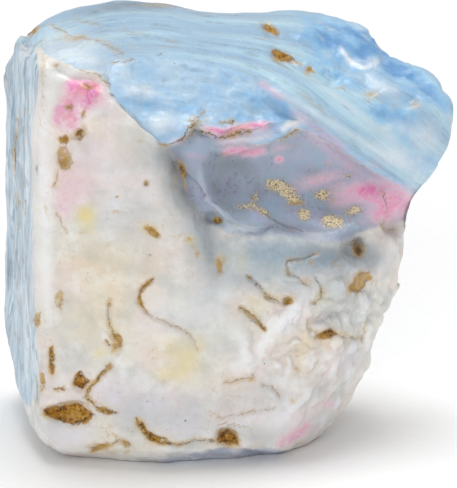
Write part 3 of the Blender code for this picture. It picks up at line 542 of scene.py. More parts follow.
# Spots of the seen side: place, half axes in picture points, turn and strength.
SPOTS = {
    "pink": [
        (84, 100, 17, 20, 30, 0.52), (66, 118, 11, 17, 10, 0.5), (80, 88, 15, 6, 0, 0.6),
        (74, 86, 9, 6, 0, 0.85), (95, 90, 8, 7, 20, 1.0), (84, 92, 10, 7, 0, 0.6),
        (89, 103, 7, 9, 10, 0.75), (70, 101, 9, 8, 0, 0.55), (60, 112, 5, 9, 10, 0.6),
        (74, 123, 7, 9, 0, 0.6), (57, 123, 4, 9, 0, 0.45), (104, 103, 9, 7, 35, 0.4),
        (116, 119, 14, 10, 45, 0.2), (75, 190, 26, 24, 0, 0.38), (63, 210, 9, 16, 0, 0.32),
        (96, 152, 26, 24, 0, 0.24), (66, 152, 6, 30, 0, 0.16), (371, 193, 14, 11, 10, 0.95),
        (352, 196, 20, 13, 0, 0.45), (392, 202, 18, 15, 0, 0.62), (408, 204, 12, 13, 0, 0.6),
        (386, 217, 20, 10, -8, 0.6), (343, 206, 12, 8, 0, 0.3), (394, 187, 18, 6, 32, 0.4),
        (333, 190, 20, 12, 0, 0.18), (360, 172, 14, 8, 20, 0.18), (281, 161, 5, 4, 0, 0.85),
        (302, 420, 26, 14, -20, 0.22), (292, 398, 18, 10, 0, 0.16), (332, 408, 9, 4, 0, 0.5),
        (66, 459, 12, 2, 0, 0.35), (331, 164, 6, 4, 0, 0.3), (282, 150, 16, 5, -14, 0.35),
        (196, 158, 14, 5, 10, 0.25), (300, 440, 24, 10, -25, 0.15),
    ],
    "yellow": [
        (86, 218, 9, 10, 0, 1.0), (150, 233, 9, 6, 20, 0.5), (193, 243, 7, 5, 0, 0.4),
        (89, 232, 8, 6, 0, 0.35), (172, 350, 20, 12, 20, 0.35), (188, 369, 13, 17, 0, 0.5),
        (170, 379, 13, 7, 0, 0.55), (200, 350, 8, 14, 0, 0.3), (100, 357, 8, 5, 0, 0.45),
        (106, 430, 9, 18, 0, 0.2), (258, 306, 14, 6, 30, 0.3), (307, 350, 6, 22, 10, 0.35),
        (225, 262, 9, 8, 0, 0.22), (130, 262, 40, 24, 0, 0.12), (90, 128, 12, 14, 0, 0.14),
        (100, 300, 36, 30, 0, 0.12), (244, 262, 5, 18, 0, 0.2), (280, 342, 10, 5, 0, 0.2),
        (327, 300, 12, 6, 40, 0.2), (340, 340, 16, 8, 0, 0.25),
    ],
    # White spots: chalky white patches, and painted highlights on the front's lumps and swirl
    # crest, the blue ledge, the hollow's lower lip, the facet and the pink knob, with painted
    # light on the shaded right of the foot.
    "white_and_highlight": [
        (404, 160, 26, 9, 34, 0.6), (430, 140, 14, 16, 20, 0.45), (410, 130, 18, 8, 20, 0.3),
        (100, 160, 20, 16, 0, 0.2), (286, 424, 24, 16, -20, 0.6), (62, 56, 22, 10, 12, 0.35),
        (92, 62, 20, 6, 10, 0.45), (247, 370, 8, 9, 0, 0.4), (190, 320, 26, 20, 0, 0.3),
        (92, 158, 18, 14, 0, 0.3), (86, 94, 4, 3, 0, 0.6), (74, 98, 3, 3, 0, 0.5),
        (76, 128, 5, 3, 0, 0.5), (232, 143, 12, 3, 0, 0.5), (258, 132, 10, 3, -5, 0.6),
        (175, 143, 6, 3, -20, 0.5), (210, 121, 6, 2, -20, 0.5), (298, 125, 9, 4, -15, 0.9),
        (140, 92, 18, 6, 8, 0.55), (165, 125, 17, 11, 0, 0.5), (126, 76, 12, 6, 0, 0.35),
        (78, 46, 30, 12, 5, 0.4), (386, 86, 10, 7, 20, 0.5), (398, 92, 8, 6, 30, 0.3),
        (375, 76, 6, 5, 0, 0.4), (356, 62, 8, 3, 0, 0.5), (378, 60, 8, 3, 0, 0.5),
        (390, 128, 6, 4, 0, 0.4), (285, 325, 18, 4, -47, 0.6), (266, 350, 12, 4, -40, 0.4),
        (248, 363, 10, 8, 0, 0.6), (236, 338, 8, 10, 0, 0.4), (246, 346, 7, 9, 0, 0.35),
        (310, 300, 10, 8, 0, 0.35), (228, 296, 9, 12, 0, 0.4), (298, 388, 14, 8, 0, 0.35),
        (160, 340, 10, 5, 0, 0.3), (51, 90, 4, 60, 0, 0.3), (50, 230, 4, 90, 0, 0.25),
        (330, 360, 10, 8, 0, 0.35), (246, 322, 10, 8, 0, 0.2), (92, 74, 16, 4, 0, 0.5),
        (60, 78, 8, 8, 0, 0.5), (300, 318, 14, 5, -47, 0.45), (320, 238, 12, 4, 5, 0.35),
        (240, 232, 22, 3, 5, 0.3), (390, 262, 5, 20, 18, 0.3),
    ],
    "rust": [
        (142, 430, 4, 6, -20, 0.9), (150, 440, 6, 3.4, 40, 1.0), (163, 446, 10, 3, 14, 0.95),
        (226, 437, 7, 4, -10, 0.85), (232, 445, 7, 6, 0, 0.75), (292, 303, 7, 5, 0, 0.6),
        (52, 418, 9, 4, -6, 0.95), (62, 417, 11, 6, -4, 1.0), (72, 415, 11, 7, 0, 1.0),
        (83, 420, 8, 5, -25, 0.95), (77, 409, 5, 3, 0, 0.85), (80, 380, 3, 5, 0, 1.0),
        (82, 389, 6, 4, 0, 1.0), (76, 386, 3, 5, 20, 0.7), (117, 350, 6, 8, 20, 0.75),
        (110, 373, 6, 3, -30, 0.8), (60, 307, 4, 6, 0, 0.45), (51, 362, 2.4, 13, 4, 0.95),
        (52, 376, 3, 5, 0, 0.7), (42, 385, 2, 10, 0, 0.65), (36, 405, 2.6, 10, 0, 0.5),
        (39, 326, 3, 6, 0, 0.4), (36, 388, 2, 8, 0, 0.3), (80, 136, 5, 4, -30, 1.0),
        (84, 116, 2, 5, 0, 0.9), (69, 109, 6, 2.6, 0, 0.85), (65, 142, 5, 3, 0, 0.9),
        (64, 165, 6, 8, 0, 0.7), (60, 153, 3, 9, 0, 0.5), (88, 88, 5, 2.4, 30, 0.9),
        (29, 31, 11, 5, -16, 0.9), (57, 67, 5, 2.2, 10, 0.7), (44, 40, 4, 8, 0, 0.3),
        (153, 233, 8, 5, 35, 0.75), (158, 238, 4, 3, 0, 0.5), (190, 243, 5, 4, 20, 0.55),
        (199, 258, 3.4, 6, 0, 0.5), (196, 250, 4, 8, 20, 0.25), (150, 262, 8, 5, 0, 0.2),
        (117, 215, 8, 2.4, 0, 0.45), (83, 236, 5, 2, 0, 0.45), (222, 271, 4, 9, 0, 0.5),
        (222, 262, 5, 6, 0, 0.35), (326, 338, 7, 3.4, -30, 1.0), (335, 335, 4, 3, 0, 0.8),
        (346, 336, 7, 2, 8, 0.5), (352, 340, 3, 3, 0, 0.4), (104, 451, 10, 2.6, -5, 0.75),
        (126, 448, 8, 4, 25, 0.7), (94, 455, 6, 3, 0, 0.5), (112, 457, 8, 3, 0, 0.4),
        (128, 456, 3, 2, 0, 0.6), (50, 449, 5, 3, 40, 0.3), (230, 446, 8, 6, 0, 0.7),
        (182, 450, 4, 2, 0, 0.8), (273, 29, 8, 4, 34, 1.0), (283, 56, 9, 6, 30, 1.0),
        (311, 71, 4, 4, -30, 0.75), (298, 62, 10, 2.4, 22, 0.6), (160, 4, 24, 3, 0, 0.4),
        (354, 291, 3.4, 8, 20, 0.75), (362, 276, 5, 3, -20, 0.55), (374, 281, 4, 4, 0, 0.7),
        (362, 253, 6, 7, 0, 0.95), (358, 246, 4, 5, 0, 0.4), (296, 405, 6, 4, 0, 0.45),
        (147, 186, 2.6, 3.4, -20, 0.9), (118, 200, 1.8, 1.6, 0, 0.8), (183, 171, 3, 8, -15, 0.85),
        (187, 188, 1.6, 7, -10, 0.6), (219, 223, 5, 3.4, 15, 0.9), (176, 182, 3, 9, 0, 0.3),
        (291, 276, 3, 4, 0, 0.5), (290, 262, 3, 3, 0, 0.4), (314, 266, 3, 3, 0, 0.5),
        (320, 256, 4, 2, -20, 0.5), (309, 284, 5, 4, 40, 0.4), (290, 306, 6, 4, 0, 0.6),
        (267, 333, 4, 3, 0, 0.75), (268, 300, 4, 3, 40, 0.6), (251, 281, 3, 2, 30, 0.5),
        (242, 311, 3, 3, 0, 0.5), (316, 306, 3, 2, -30, 0.6), (300, 353, 3, 7, 0, 0.3),
        (300, 374, 5, 4, 0, 0.3), (253, 384, 6, 3, -10, 0.5), (334, 350, 4, 3, 0, 0.3),
        (120, 386, 3, 2, -30, 0.2), (142, 143, 4, 2, -20, 0.4), (372, 100, 5, 4, 0, 0.35),
        (206, 112, 8, 4, 0, 0.25), (166, 147, 5, 2.6, 10, 0.7), (342, 268, 3, 9, -20, 0.3),
        (230, 240, 4, 6, 0, 0.25), (395, 230, 5, 7, -40, 0.4),
    ],
    "gold": [
        (186, 140, 9, 4, -30, 0.45), (203, 125, 9, 3, -25, 0.45), (222, 138, 10, 3, 0, 0.4),
        (240, 134, 10, 2.5, -10, 0.4), (228, 125, 8, 2.5, 0, 0.35), (362, 253, 6, 7, 0, 0.7),
        (285, 190, 15, 7, 18, 1.0), (296, 201, 9, 5, 25, 0.9), (274, 186, 7, 5, 0, 0.8),
        (325, 197, 8, 6, 0, 1.0), (307, 217, 7, 7, 0, 1.0), (337, 225, 13, 7, 0, 1.0),
        (330, 220, 5, 3, 0, 0.8), (357, 213, 9, 5, -10, 0.9), (266, 215, 9, 4, 30, 0.85),
        (248, 209, 14, 4, 0, 0.6), (256, 200, 6, 8, 0, 0.6), (350, 177, 7, 3, 10, 0.5),
        (226, 205, 6, 3, 0, 0.35), (290, 212, 8, 5, 0, 0.3), (318, 175, 6, 4, 0, 0.3),
        (330, 165, 6, 4, 0, 0.3),
    ],
    "dark": [
        (110, 85, 2.2, 9, -6, 0.85), (114, 98, 4.4, 2.6, 45, 0.8), (123, 109, 6, 1.4, 42, 0.6),
        (137, 121, 7, 1.2, 42, 0.5), (152, 135, 7, 1.2, 42, 0.55), (96, 77, 8, 1.6, 12, 0.5),
        (60, 265, 1.5, 1.3, 0, 0.9), (71, 271, 1.4, 1.2, 0, 0.8), (89, 277, 1.5, 1.4, 0, 0.9),
        (151, 258, 1.4, 1.4, 0, 0.8), (61, 314, 1.6, 2.4, 0, 0.9), (45, 324, 1.5, 2.4, 0, 0.6),
        (294, 267, 1.4, 1.6, 0, 0.7), (338, 298, 1.4, 2, 30, 0.5), (100, 362, 1.6, 1.6, 0, 0.6),
        (210, 427, 1.4, 1.2, 0, 0.5), (144, 428, 2.4, 5, -20, 0.6), (152, 439, 4, 1.8, 40, 0.8),
        (164, 444, 6, 1.4, 14, 0.7), (226, 436, 6, 1.6, -12, 0.8), (46, 414, 4, 1.6, 14, 0.7),
        (90, 417, 3, 1.8, 0, 0.7), (88, 88, 4, 1.6, 20, 0.9), (70, 109, 3, 1.4, 0, 0.7),
        (84, 117, 1.4, 4, 0, 0.8), (79, 139, 3, 2, -30, 0.6), (208, 108, 5, 3.4, 0, 0.4),
        (262, 103, 5, 3, 0, 0.35), (72, 329, 11, 4, 0, 0.22), (140, 387, 6, 6, 0, 0.25),
        (138, 390, 2, 3, 10, 0.4), (149, 406, 3, 1, -15, 0.7), (165, 404, 1.4, 1.2, 0, 0.9),
        (120, 397, 3.4, 1.2, -15, 0.8), (20, 203, 2, 4, 0, 0.7), (37, 172, 1.6, 8, 0, 0.75),
        (12, 190, 1.6, 8, 0, 0.35), (12, 275, 6, 12, 0, 0.35), (9, 340, 3, 8, 0, 0.4),
        (5, 78, 3, 8, 0, 0.6), (360, 246, 13, 11, 0, 0.75), (394, 231, 8, 6, -40, 0.6),
        (331, 71, 5, 3, 0, 0.6), (326, 339, 5, 1.8, -28, 0.6), (335, 334, 3, 1.4, 20, 0.7),
        (363, 255, 4, 5, 0, 0.7), (230, 438, 6, 2, 0, 0.6), (290, 304, 4, 2, 0, 0.5),
        (271, 301, 3, 1.4, 45, 0.6), (57, 67, 4, 1.2, 10, 0.7), (184, 172, 1.6, 4, -20, 0.7),
        (219, 222, 3, 2, 20, 0.7), (147, 186, 1.6, 2.2, -20, 0.7), (94, 419, 2, 1.2, 0, 0.8),
        (300, 374, 6, 5, 0, 0.25), (331, 350, 1.6, 1.4, 0, 0.6), (268, 335, 2, 1.6, 0, 0.6),
        (42, 240, 1.4, 8, 0, 0.35), (295, 382, 5, 2, -20, 0.25), (317, 393, 4, 2, -20, 0.3),
        (334, 332, 10, 3, -25, 0.3), (318, 258, 4, 1.6, -20, 0.5), (314, 266, 1.8, 1.6, 0, 0.5),
        (292, 276, 1.4, 1.4, 0, 0.6), (258, 424, 4, 1.4, 0, 0.4), (262, 427, 2, 3, -20, 0.35),
        (246, 423, 5, 1, 0, 0.4), (300, 61, 5, 3, 20, 0.3), (344, 62, 5, 2, 0, 0.4),
        (274, 29, 5, 1.4, 0, 0.6), (350, 82, 2, 1.6, 0, 0.4), (152, 234, 2, 1.4, 0, 0.5),
        (224, 250, 1.4, 1.4, 0, 0.3),
    ],
    # Painted shade, blue-grey, in the band below the hollow's lower rim.
    "under": [
        (270, 256, 48, 20, 2, 1.0), (330, 262, 34, 16, 0, 1.0), (252, 284, 26, 16, 0, 0.5),
        (212, 262, 16, 30, -12, 0.5), (300, 292, 26, 16, 0, 0.4), (200, 235, 12, 18, -20, 0.5),
        (378, 262, 16, 16, 0, 0.5),
    ],
    # Grey spots: clear grey patches, and painted shade in the channel beside the hollow.
    "grey": [
        (135, 410, 22, 20, 0, 0.4), (135, 225, 28, 28, 0, 0.45), (158, 160, 16, 24, -25, 0.8),
        (180, 205, 15, 30, -25, 0.85), (196, 250, 12, 22, -10, 0.5), (212, 330, 26, 40, 0, 0.45),
        (150, 150, 30, 24, 30, 0.25), (130, 236, 60, 30, 0, 0.25), (345, 300, 30, 16, 0, 0.7),
        (356, 326, 30, 8, -20, 0.4), (200, 300, 18, 40, 0, 0.25), (170, 182, 14, 36, -16, 0.5),
        (300, 360, 14, 24, 0, 0.25), (160, 426, 64, 16, 6, 0.5), (255, 402, 60, 16, 0, 0.5),
        (50, 330, 20, 40, 0, 0.2), (250, 440, 40, 8, 0, 0.25), (124, 136, 22, 10, 45, 0.2),
        (98, 345, 30, 30, 0, 0.15), (72, 329, 14, 5, 0, 0.5),
    ],
    "warm": [
        (90, 262, 34, 22, 0, 0.6), (96, 330, 40, 26, 0, 0.5), (130, 150, 26, 22, 30, 0.3),
        (232, 386, 30, 16, 0, 0.4), (276, 296, 14, 8, 30, 0.4), (330, 348, 22, 12, 0, 0.5),
        (300, 370, 14, 22, 0, 0.4), (180, 360, 30, 22, 0, 0.35), (80, 180, 26, 40, 0, 0.3),
        (240, 310, 10, 16, 0, 0.3), (150, 278, 10, 16, 20, 0.35), (116, 300, 16, 30, 0, 0.4),
    ],
    # Smoke spots: smoky clear patches, and painted shade in and beside the hollow, under its
    # ledges and lower lip, and in the valleys between the lumps at the lower right.
    "smoke": [
        (130, 6, 50, 7, -6, 0.5), (328, 258, 26, 12, 0, 0.5), (160, 4, 44, 5, 0, 0.45),
        (100, 10, 30, 4, -14, 0.3), (225, 12, 40, 3, 0, 0.2), (372, 262, 22, 14, 0, 0.35),
        (20, 203, 5, 12, 0, 0.35), (6, 80, 5, 14, 0, 0.35), (36, 172, 4, 16, 0, 0.3),
        (12, 275, 7, 14, 0, 0.35), (10, 340, 6, 12, 0, 0.3), (22, 130, 8, 30, 0, 0.2),
        (18, 250, 8, 20, 0, 0.2), (30, 300, 6, 30, 0, 0.15), (182, 176, 10, 26, -14, 0.95),
        (172, 160, 12, 10, 0, 0.45), (190, 205, 7, 20, -30, 0.6), (212, 224, 12, 7, 25, 0.7),
        (232, 168, 34, 12, 4, 0.55), (228, 192, 20, 16, 0, 0.45), (262, 196, 8, 10, 0, 0.4),
        (290, 232, 34, 6, 4, 0.8), (360, 246, 16, 14, 0, 0.7), (330, 214, 14, 6, 0, 0.35),
        (214, 250, 8, 26, -8, 0.3), (318, 176, 26, 8, 20, 0.3), (338, 182, 24, 10, 20, 0.25),
        (396, 228, 12, 8, -40, 0.6), (345, 268, 6, 16, 0, 0.3), (326, 322, 20, 6, -22, 0.4),
        (330, 338, 8, 5, 0, 0.25), (166, 156, 10, 9, 30, 0.4),
    ],
    "lavender": [
        (150, 410, 50, 16, 0, 0.5), (110, 395, 24, 16, 0, 0.5), (70, 440, 30, 14, 0, 0.5),
        (180, 425, 30, 10, 0, 0.4), (200, 300, 12, 30, 0, 0.3), (290, 325, 22, 6, -47, 0.5),
        (200, 435, 40, 8, 0, 0.4), (350, 360, 18, 14, -40, 0.4), (160, 330, 24, 24, 0, 0.25),
        (270, 385, 30, 14, 0, 0.3), (120, 190, 40, 40, 0, 0.25), (262, 420, 30, 10, 0, 0.3),
    ],
}

# Spots that run on over the back: the deep blue and the curds.
DEEP_SPOTS = [
    (386, 58, 34, 13, 38, 0.8), (425, 84, 24, 8, 38, 0.4), (356, 34, 24, 9, 22, 0.5),
    (446, 112, 8, 14, -10, 0.2), (345, 46, 50, 24, 30, 0.45), (412, 100, 28, 12, 42, 0.2),
    (367, 51, 13, 7, 10, 0.9), (366, 50, 11, 7, 8, 1.0), (384, 46, 12, 8, 40, 0.6),
    (336, 40, 26, 9, 15, 0.9), (430, 94, 14, 7, 40, 0.3), (396, 118, 26, 10, 20, 0.75),
    (300, 62, 24, 6, 20, 0.5), (402, 68, 22, 6, 32, 0.8), (350, 78, 20, 8, 30, 0.5),
    (420, 130, 16, 10, 40, 0.2), (366, 36, 10, 4, 10, 0.6), (330, 72, 6, 3, 0, 0.7),
    (180, 108, 22, 6, 10, 0.35), (225, 92, 26, 8, 10, 0.3), (150, 110, 10, 5, 25, 0.4),
    (240, 118, 26, 5, 0, 0.3), (262, 112, 30, 14, 20, 0.3), (270, 104, 18, 7, 20, 0.4),
    (425, 160, 32, 24, 30, 0.28),
]
LUMPY_SPOTS = [
    (306, 348, 62, 66, 0, 1.0), (366, 300, 30, 60, 0, 0.8), (84, 106, 22, 26, 20, 0.7),
    (330, 280, 40, 20, 0, 0.5), (256, 400, 50, 14, 0, 0.4),
]

# Soft strokes of the seen side: path, half width in picture points and strength.
STROKES = {
    "pink": [
        ([(197, 126), (212, 131), (226, 134), (240, 130), (262, 127), (279, 123)], 4.0, 0.75),
        ([(218, 156), (240, 153), (255, 154), (272, 150)], 5.5, 0.72),
        ([(200, 134), (226, 139), (262, 134), (290, 128)], 10.0, 0.3),
        ([(170, 146), (182, 142), (192, 137)], 3.4, 0.35),
        ([(256, 80), (275, 92), (290, 106)], 4.2, 0.4),
        ([(284, 102), (305, 119), (322, 131), (338, 143), (356, 156)], 5.2, 0.36),
        ([(300, 128), (320, 142), (344, 158), (366, 176)], 8.0, 0.28),
        ([(275, 455), (290, 444), (303, 436), (316, 424)], 5.2, 0.55),
    ],
    # White strokes: chalky bands, and painted highlights along the swirl crest, the lens rim and
    # the crest of the blue ledge.
    "white_and_highlight": [
        ([(341, 42), (349, 55), (358, 64), (368, 67), (378, 64), (384, 55)], 2.6, 0.85),
        ([(254, 356), (264, 348), (276, 336), (288, 322), (300, 308), (306, 300)], 5.6, 0.7),
        ([(44, 66), (43, 130), (44, 200), (46, 280), (50, 350)], 6.0, 0.6),
        ([(36, 74), (34, 130), (35, 200), (37, 280), (42, 340)], 9.0, 0.2),
        ([(262, 84), (290, 98), (330, 122), (370, 146), (410, 172)], 4.0, 0.35),
        ([(201, 160), (205, 186), (213, 207), (229, 225), (250, 232), (266, 230)], 2.4, 0.22),
        ([(280, 132), (292, 127), (304, 121)], 3.0, 0.8),
        ([(228, 143), (244, 141), (262, 140), (276, 136)], 2.4, 0.5),
        ([(150, 440), (160, 452), (180, 456), (215, 455)], 2.4, 0.6),
    ],
}

# Rusty cracks of the seen side: path and strength. Some run along the grooves.
RUST_STROKES = [
    ([(112, 366), (104, 376), (98, 384), (92, 391), (86, 398)], 0.85),
    ([(86, 398), (91, 406), (101, 413), (112, 417), (120, 418)], 0.75),
    ([(111, 300), (109, 318), (113, 336), (120, 344)], 0.6),
    (GROOVES["vein_side"][0], 0.7),
    ([(54, 394), (66, 393)], 0.85),
    ([(158, 279), (150, 287), (142, 294), (140, 304), (146, 315), (156, 321)], 0.6),
    (GROOVES["hook_tail"][0], 0.35),
    ([(247, 276), (255, 284), (262, 290), (270, 299), (280, 305), (290, 306)], 0.6),
    (GROOVES["swirl_two"][0], 0.6),
    (GROOVES["swirl_three"][0], 0.4),
    (GROOVES["swirl_three_arm"][0], 0.45),
    ([(336, 335), (342, 340), (352, 341), (366, 343)], 0.45),
    ([(222, 387), (243, 384), (253, 382), (258, 376)], 0.5),
    (GROOVES["swirl_eight"][0], 0.4),
    ([(135, 421), (141, 430), (148, 440), (160, 447), (175, 450)], 1.0),
    ([(175, 450), (184, 449), (200, 445), (219, 447)], 0.7),
    ([(221, 441), (228, 436), (236, 440), (240, 450)], 1.0),
    (GROOVES["low_crack"][0], 0.35),
    ([(168, 148), (177, 144), (185, 140), (189, 132), (197, 126), (204, 120)], 0.85),
    ([(188, 124), (198, 119), (208, 113)], 0.5),
    ([(200, 133), (212, 137), (222, 140), (232, 138), (240, 135), (256, 134)], 0.85),
    ([(220, 125), (230, 125), (238, 121)], 0.6),
    ([(282, 142), (292, 137), (302, 130)], 0.6),
    ([(216, 157), (232, 157)], 0.5),
    ([(112, 64), (124, 63), (137, 61)], 0.6),
    ([(78, 72), (95, 75), (105, 82), (110, 92)], 0.4),
    ([(46, 22), (60, 30), (75, 37), (95, 41), (112, 48), (128, 58)], 0.4),
    ([(70, 20), (110, 26), (150, 36), (190, 46)], 0.22),
    ([(42, 40), (43, 80), (42, 120)], 0.2),
    ([(58, 170), (57, 182), (53, 192)], 0.5),
    ([(56, 214), (62, 228), (69, 238)], 0.35),
    ([(398, 280), (391, 297), (383, 308)], 0.3),
    ([(371, 323), (366, 336), (365, 348)], 0.4),
    ([(86, 453), (100, 451), (112, 449), (122, 444)], 0.5),
]

# Chips with rusty floors: the outline in the picture and how rusty the floor is.
CHIPS = [
    (
        [
            (42, 414), (49, 412), (57, 410), (66, 410), (72, 408), (81, 407), (84, 411), (89, 415),
            (95, 419), (90, 424), (85, 427), (75, 430), (66, 428), (58, 425), (48, 421),
        ],
        1.0,
    ),
    (
        [(80, 374), (84, 381), (91, 385), (86, 390), (81, 395), (77, 390), (74, 388), (76, 380)],
        1.0,
    ),
    ([(218, 449), (220, 441), (225, 437), (232, 436), (237, 440), (241, 451), (230, 447)], 0.95),
    (
        [
            (137, 422), (143, 428), (150, 437), (160, 442), (168, 444), (177, 450), (165, 449),
            (153, 447), (146, 441), (140, 433),
        ],
        1.0,
    ),
    ([(264, 25), (270, 23), (275, 28), (282, 32), (280, 36), (273, 34), (267, 30)], 0.6),
    (
        [(274, 50), (280, 48), (287, 53), (296, 58), (301, 60), (291, 63), (281, 61), (275, 57)],
        0.7,
    ),
    ([(309, 67), (314, 69), (316, 74), (311, 72)], 0.8),
    ([(320, 340), (326, 335), (333, 332), (341, 337), (334, 341), (326, 344)], 0.9),
    ([(77, 138), (79, 132), (84, 131), (83, 139), (79, 143)], 0.95),
    ([(60, 139), (66, 137), (69, 141), (66, 147), (61, 145)], 0.7),
    ([(58, 158), (60, 149), (66, 148), (71, 155), (73, 165), (68, 172), (60, 171)], 0.4),
    (
        [
            (355, 295), (355, 287), (359, 279), (365, 275), (374, 274), (372, 284), (366, 292),
            (360, 297),
        ],
        0.55,
    ),
    ([(49, 352), (52, 350), (54, 360), (55, 372), (52, 379), (50, 368)], 0.8),
    ([(112, 339), (119, 338), (123, 343), (122, 350), (118, 353), (120, 346), (115, 343)], 0.7),
    ([(284, 304), (289, 301), (296, 303), (294, 308), (288, 309)], 0.6),
    ([(146, 231), (152, 228), (160, 237), (158, 241), (152, 240)], 0.5),
    ([(214, 221), (222, 219), (224, 225), (218, 227)], 0.75),
    ([(181, 166), (185, 168), (187, 178), (184, 182), (181, 174)], 0.7),
    ([(88, 88), (94, 87), (92, 92), (87, 93)], 0.5),
    ([(90, 452), (102, 449), (111, 450), (106, 454), (93, 456)], 0.5),
    ([(120, 444), (130, 447), (136, 453), (127, 453), (121, 449)], 0.4),
    ([(94, 410), (104, 411), (117, 416), (118, 419), (107, 419), (98, 415)], 0.6),
    (
        [
            (156, 282), (151, 288), (145, 292), (142, 298), (142, 306), (145, 312), (140, 307),
            (139, 299), (142, 292), (148, 286),
        ],
        0.75,
    ),
    (
        [
            (112, 368), (106, 377), (100, 384), (92, 392), (89, 402), (90, 408), (86, 402),
            (88, 393), (97, 384), (104, 375),
        ],
        0.4,
    ),
    ([(55, 297), (62, 293), (64, 303), (60, 313), (54, 308)], 0.4),
    ([(34, 318), (40, 316), (41, 325), (37, 332), (34, 326)], 0.55),
    ([(40, 376), (44, 376), (44, 392), (40, 397)], 0.45),
    ([(220, 262), (224, 268), (224, 276), (221, 279), (219, 270)], 0.4),
    ([(243, 311), (250, 315), (259, 323), (268, 334), (265, 334), (256, 326), (247, 317)], 0.35),
    ([(22, 33), (29, 28), (37, 28), (36, 33), (27, 36)], 0.7),
]

# Spots of the other sides, placed from the standpoint of each.
OTHER_SIDES = {
    180.0: {
        "rust": [
            (196, 214, 10, 6, 30, 0.7), (262, 302, 9, 6, 0, 0.7), (332, 424, 12, 5, 10, 0.8),
            (352, 150, 4, 9, 0, 0.6), (240, 206, 6, 8, 0, 0.8), (366, 400, 10, 6, 20, 0.7),
            (110, 250, 6, 11, 20, 0.6), (160, 350, 8, 6, 0, 0.5), (300, 118, 12, 3, 10, 0.5),
        ],
        "pink": [
            (150, 190, 26, 18, -15, 0.5), (172, 212, 12, 8, 0, 0.7), (330, 336, 30, 20, 10, 0.3),
            (268, 142, 22, 8, 20, 0.4), (120, 320, 16, 20, 0, 0.3),
        ],
        "dark": [
            (240, 206, 4, 5, 0, 0.7), (366, 400, 7, 4, 20, 0.5), (110, 250, 4, 8, 20, 0.5),
            (262, 302, 3, 2, 0, 0.7), (352, 150, 2, 5, 0, 0.6), (206, 258, 3, 3, 0, 0.6),
        ],
    },
    80.0: {
        "rust": [
            (214, 262, 8, 9, 0, 0.6), (300, 300, 7, 9, 0, 0.8), (252, 318, 10, 5, 40, 0.6),
            (180, 210, 8, 4, 20, 0.5), (260, 372, 8, 5, 0, 0.6),
        ],
        "pink": [
            (236, 262, 22, 26, 12, 0.35), (200, 196, 18, 9, 10, 0.5), (262, 400, 24, 14, 0, 0.25),
        ],
        "dark": [(300, 300, 5, 7, 0, 0.6), (214, 262, 3, 4, 0, 0.6), (170, 250, 5, 6, 0, 0.4)],
    },
    280.0: {
        "rust": [
            (216, 356, 4, 16, 0, 0.6), (266, 288, 3, 12, 0, 0.5), (176, 262, 4, 16, 0, 0.6),
            (262, 62, 14, 5, 0, 0.5), (220, 66, 8, 5, 0, 0.5), (150, 258, 3, 14, 0, 0.4),
        ],
        "pink": [(290, 330, 10, 40, 0, 0.2)],
        "dark": [
            (208, 250, 3, 14, 0, 0.6), (176, 262, 3, 12, 0, 0.7), (218, 150, 3, 16, 0, 0.5),
            (258, 190, 2.4, 18, 0, 0.5), (160, 170, 2.4, 14, 0, 0.4),
        ],
    },
}


def standpoint(azimuth):
    """Right, up and forward directions of someone who looks at the stone from azimuth."""
    turn = math.radians(azimuth)
    right = np.array([math.cos(turn), math.sin(turn), 0.0])
    level = np.array([-math.sin(turn), math.cos(turn), 0.0])
    skyward = np.array([0.0, 0.0, 1.0])
    forward = math.cos(VIEW_ELEVATION) * level - math.sin(VIEW_ELEVATION) * skyward
    up = math.sin(VIEW_ELEVATION) * level + math.cos(VIEW_ELEVATION) * skyward
    return right, up, forward


def in_view(points, azimuth):
    """Picture points (u, v) of points in space, seen from azimuth."""
    right, up, forward = standpoint(azimuth)
    from_target = points - VIEW_TARGET
    scale = PER_MM * VIEW_DISTANCE / (VIEW_DISTANCE + from_target @ forward)
    u = VIEW_CENTRE[0] + scale * (from_target @ right)
    v = VIEW_CENTRE[1] - scale * (from_target @ up)
    return u, v


def eased(value, low, high):
    """0 below low, 1 above high and a smooth rise between them."""
    share = np.clip((value - low) / (high - low), 0.0, 1.0)
    return share * share * (3.0 - 2.0 * share)


def smooth_path(corners):
    """A rounded line through the corners, as many short straight pieces."""
    ends = np.array(corners, float)
    if len(ends) == 2:
        return ends
    wide = np.vstack([2 * ends[0] - ends[1], ends, 2 * ends[-1] - ends[-2]])
    line = []
    for k in range(1, len(wide) - 2):
        p0, p1, p2, p3 = wide[k - 1 : k + 3]
        for t in np.arange(PATH_STEPS) / PATH_STEPS:
            bend = (2 * p0 - 5 * p1 + 4 * p2 - p3) * t**2
            twist = (3 * p1 - p0 - 3 * p2 + p3) * t**3
            line.append(0.5 * (2 * p1 + (p2 - p0) * t + bend + twist))
    line.append(wide[-2])
    return np.array(line)


def beside_path(u, v, corners, reach=FAR):
    """How far points are from a path, on which side, and their share along it.

    The distance is in picture points, and it is positive on the right-hand side of
    someone who walks along the path. Points further off than reach are left at FAR.
    """
    line = smooth_path(corners)
    low, high = line.min(axis=0) - reach, line.max(axis=0) + reach
    near = np.flatnonzero((u > low[0]) & (u < high[0]) & (v > low[1]) & (v < high[1]))
    x, y = u[near], v[near]
    steps = np.diff(line, axis=0)
    lengths = np.linalg.norm(steps, axis=1)
    before = np.concatenate([[0.0], np.cumsum(lengths)])
    nearest = np.full(len(near), FAR)
    side = np.ones(len(near))
    share = np.zeros(len(near))
    for start, step, length, walked in zip(line, steps, lengths, before):
        du, dv = x - start[0], y - start[1]
        t = np.clip((du * step[0] + dv * step[1]) / length**2, 0.0, 1.0)
        away = np.hypot(du - t * step[0], dv - t * step[1])
        closer = away < nearest
        nearest = np.where(closer, away, nearest)
        side = np.where(closer, np.sign(step[0] * dv - step[1] * du), side)
        share = np.where(closer, (walked + t * length) / before[-1], share)
    every_away = np.full(len(u), FAR)
    every_share = np.zeros(len(u))
    every_away[near] = nearest * side
    every_share[near] = share
    return every_away, every_share


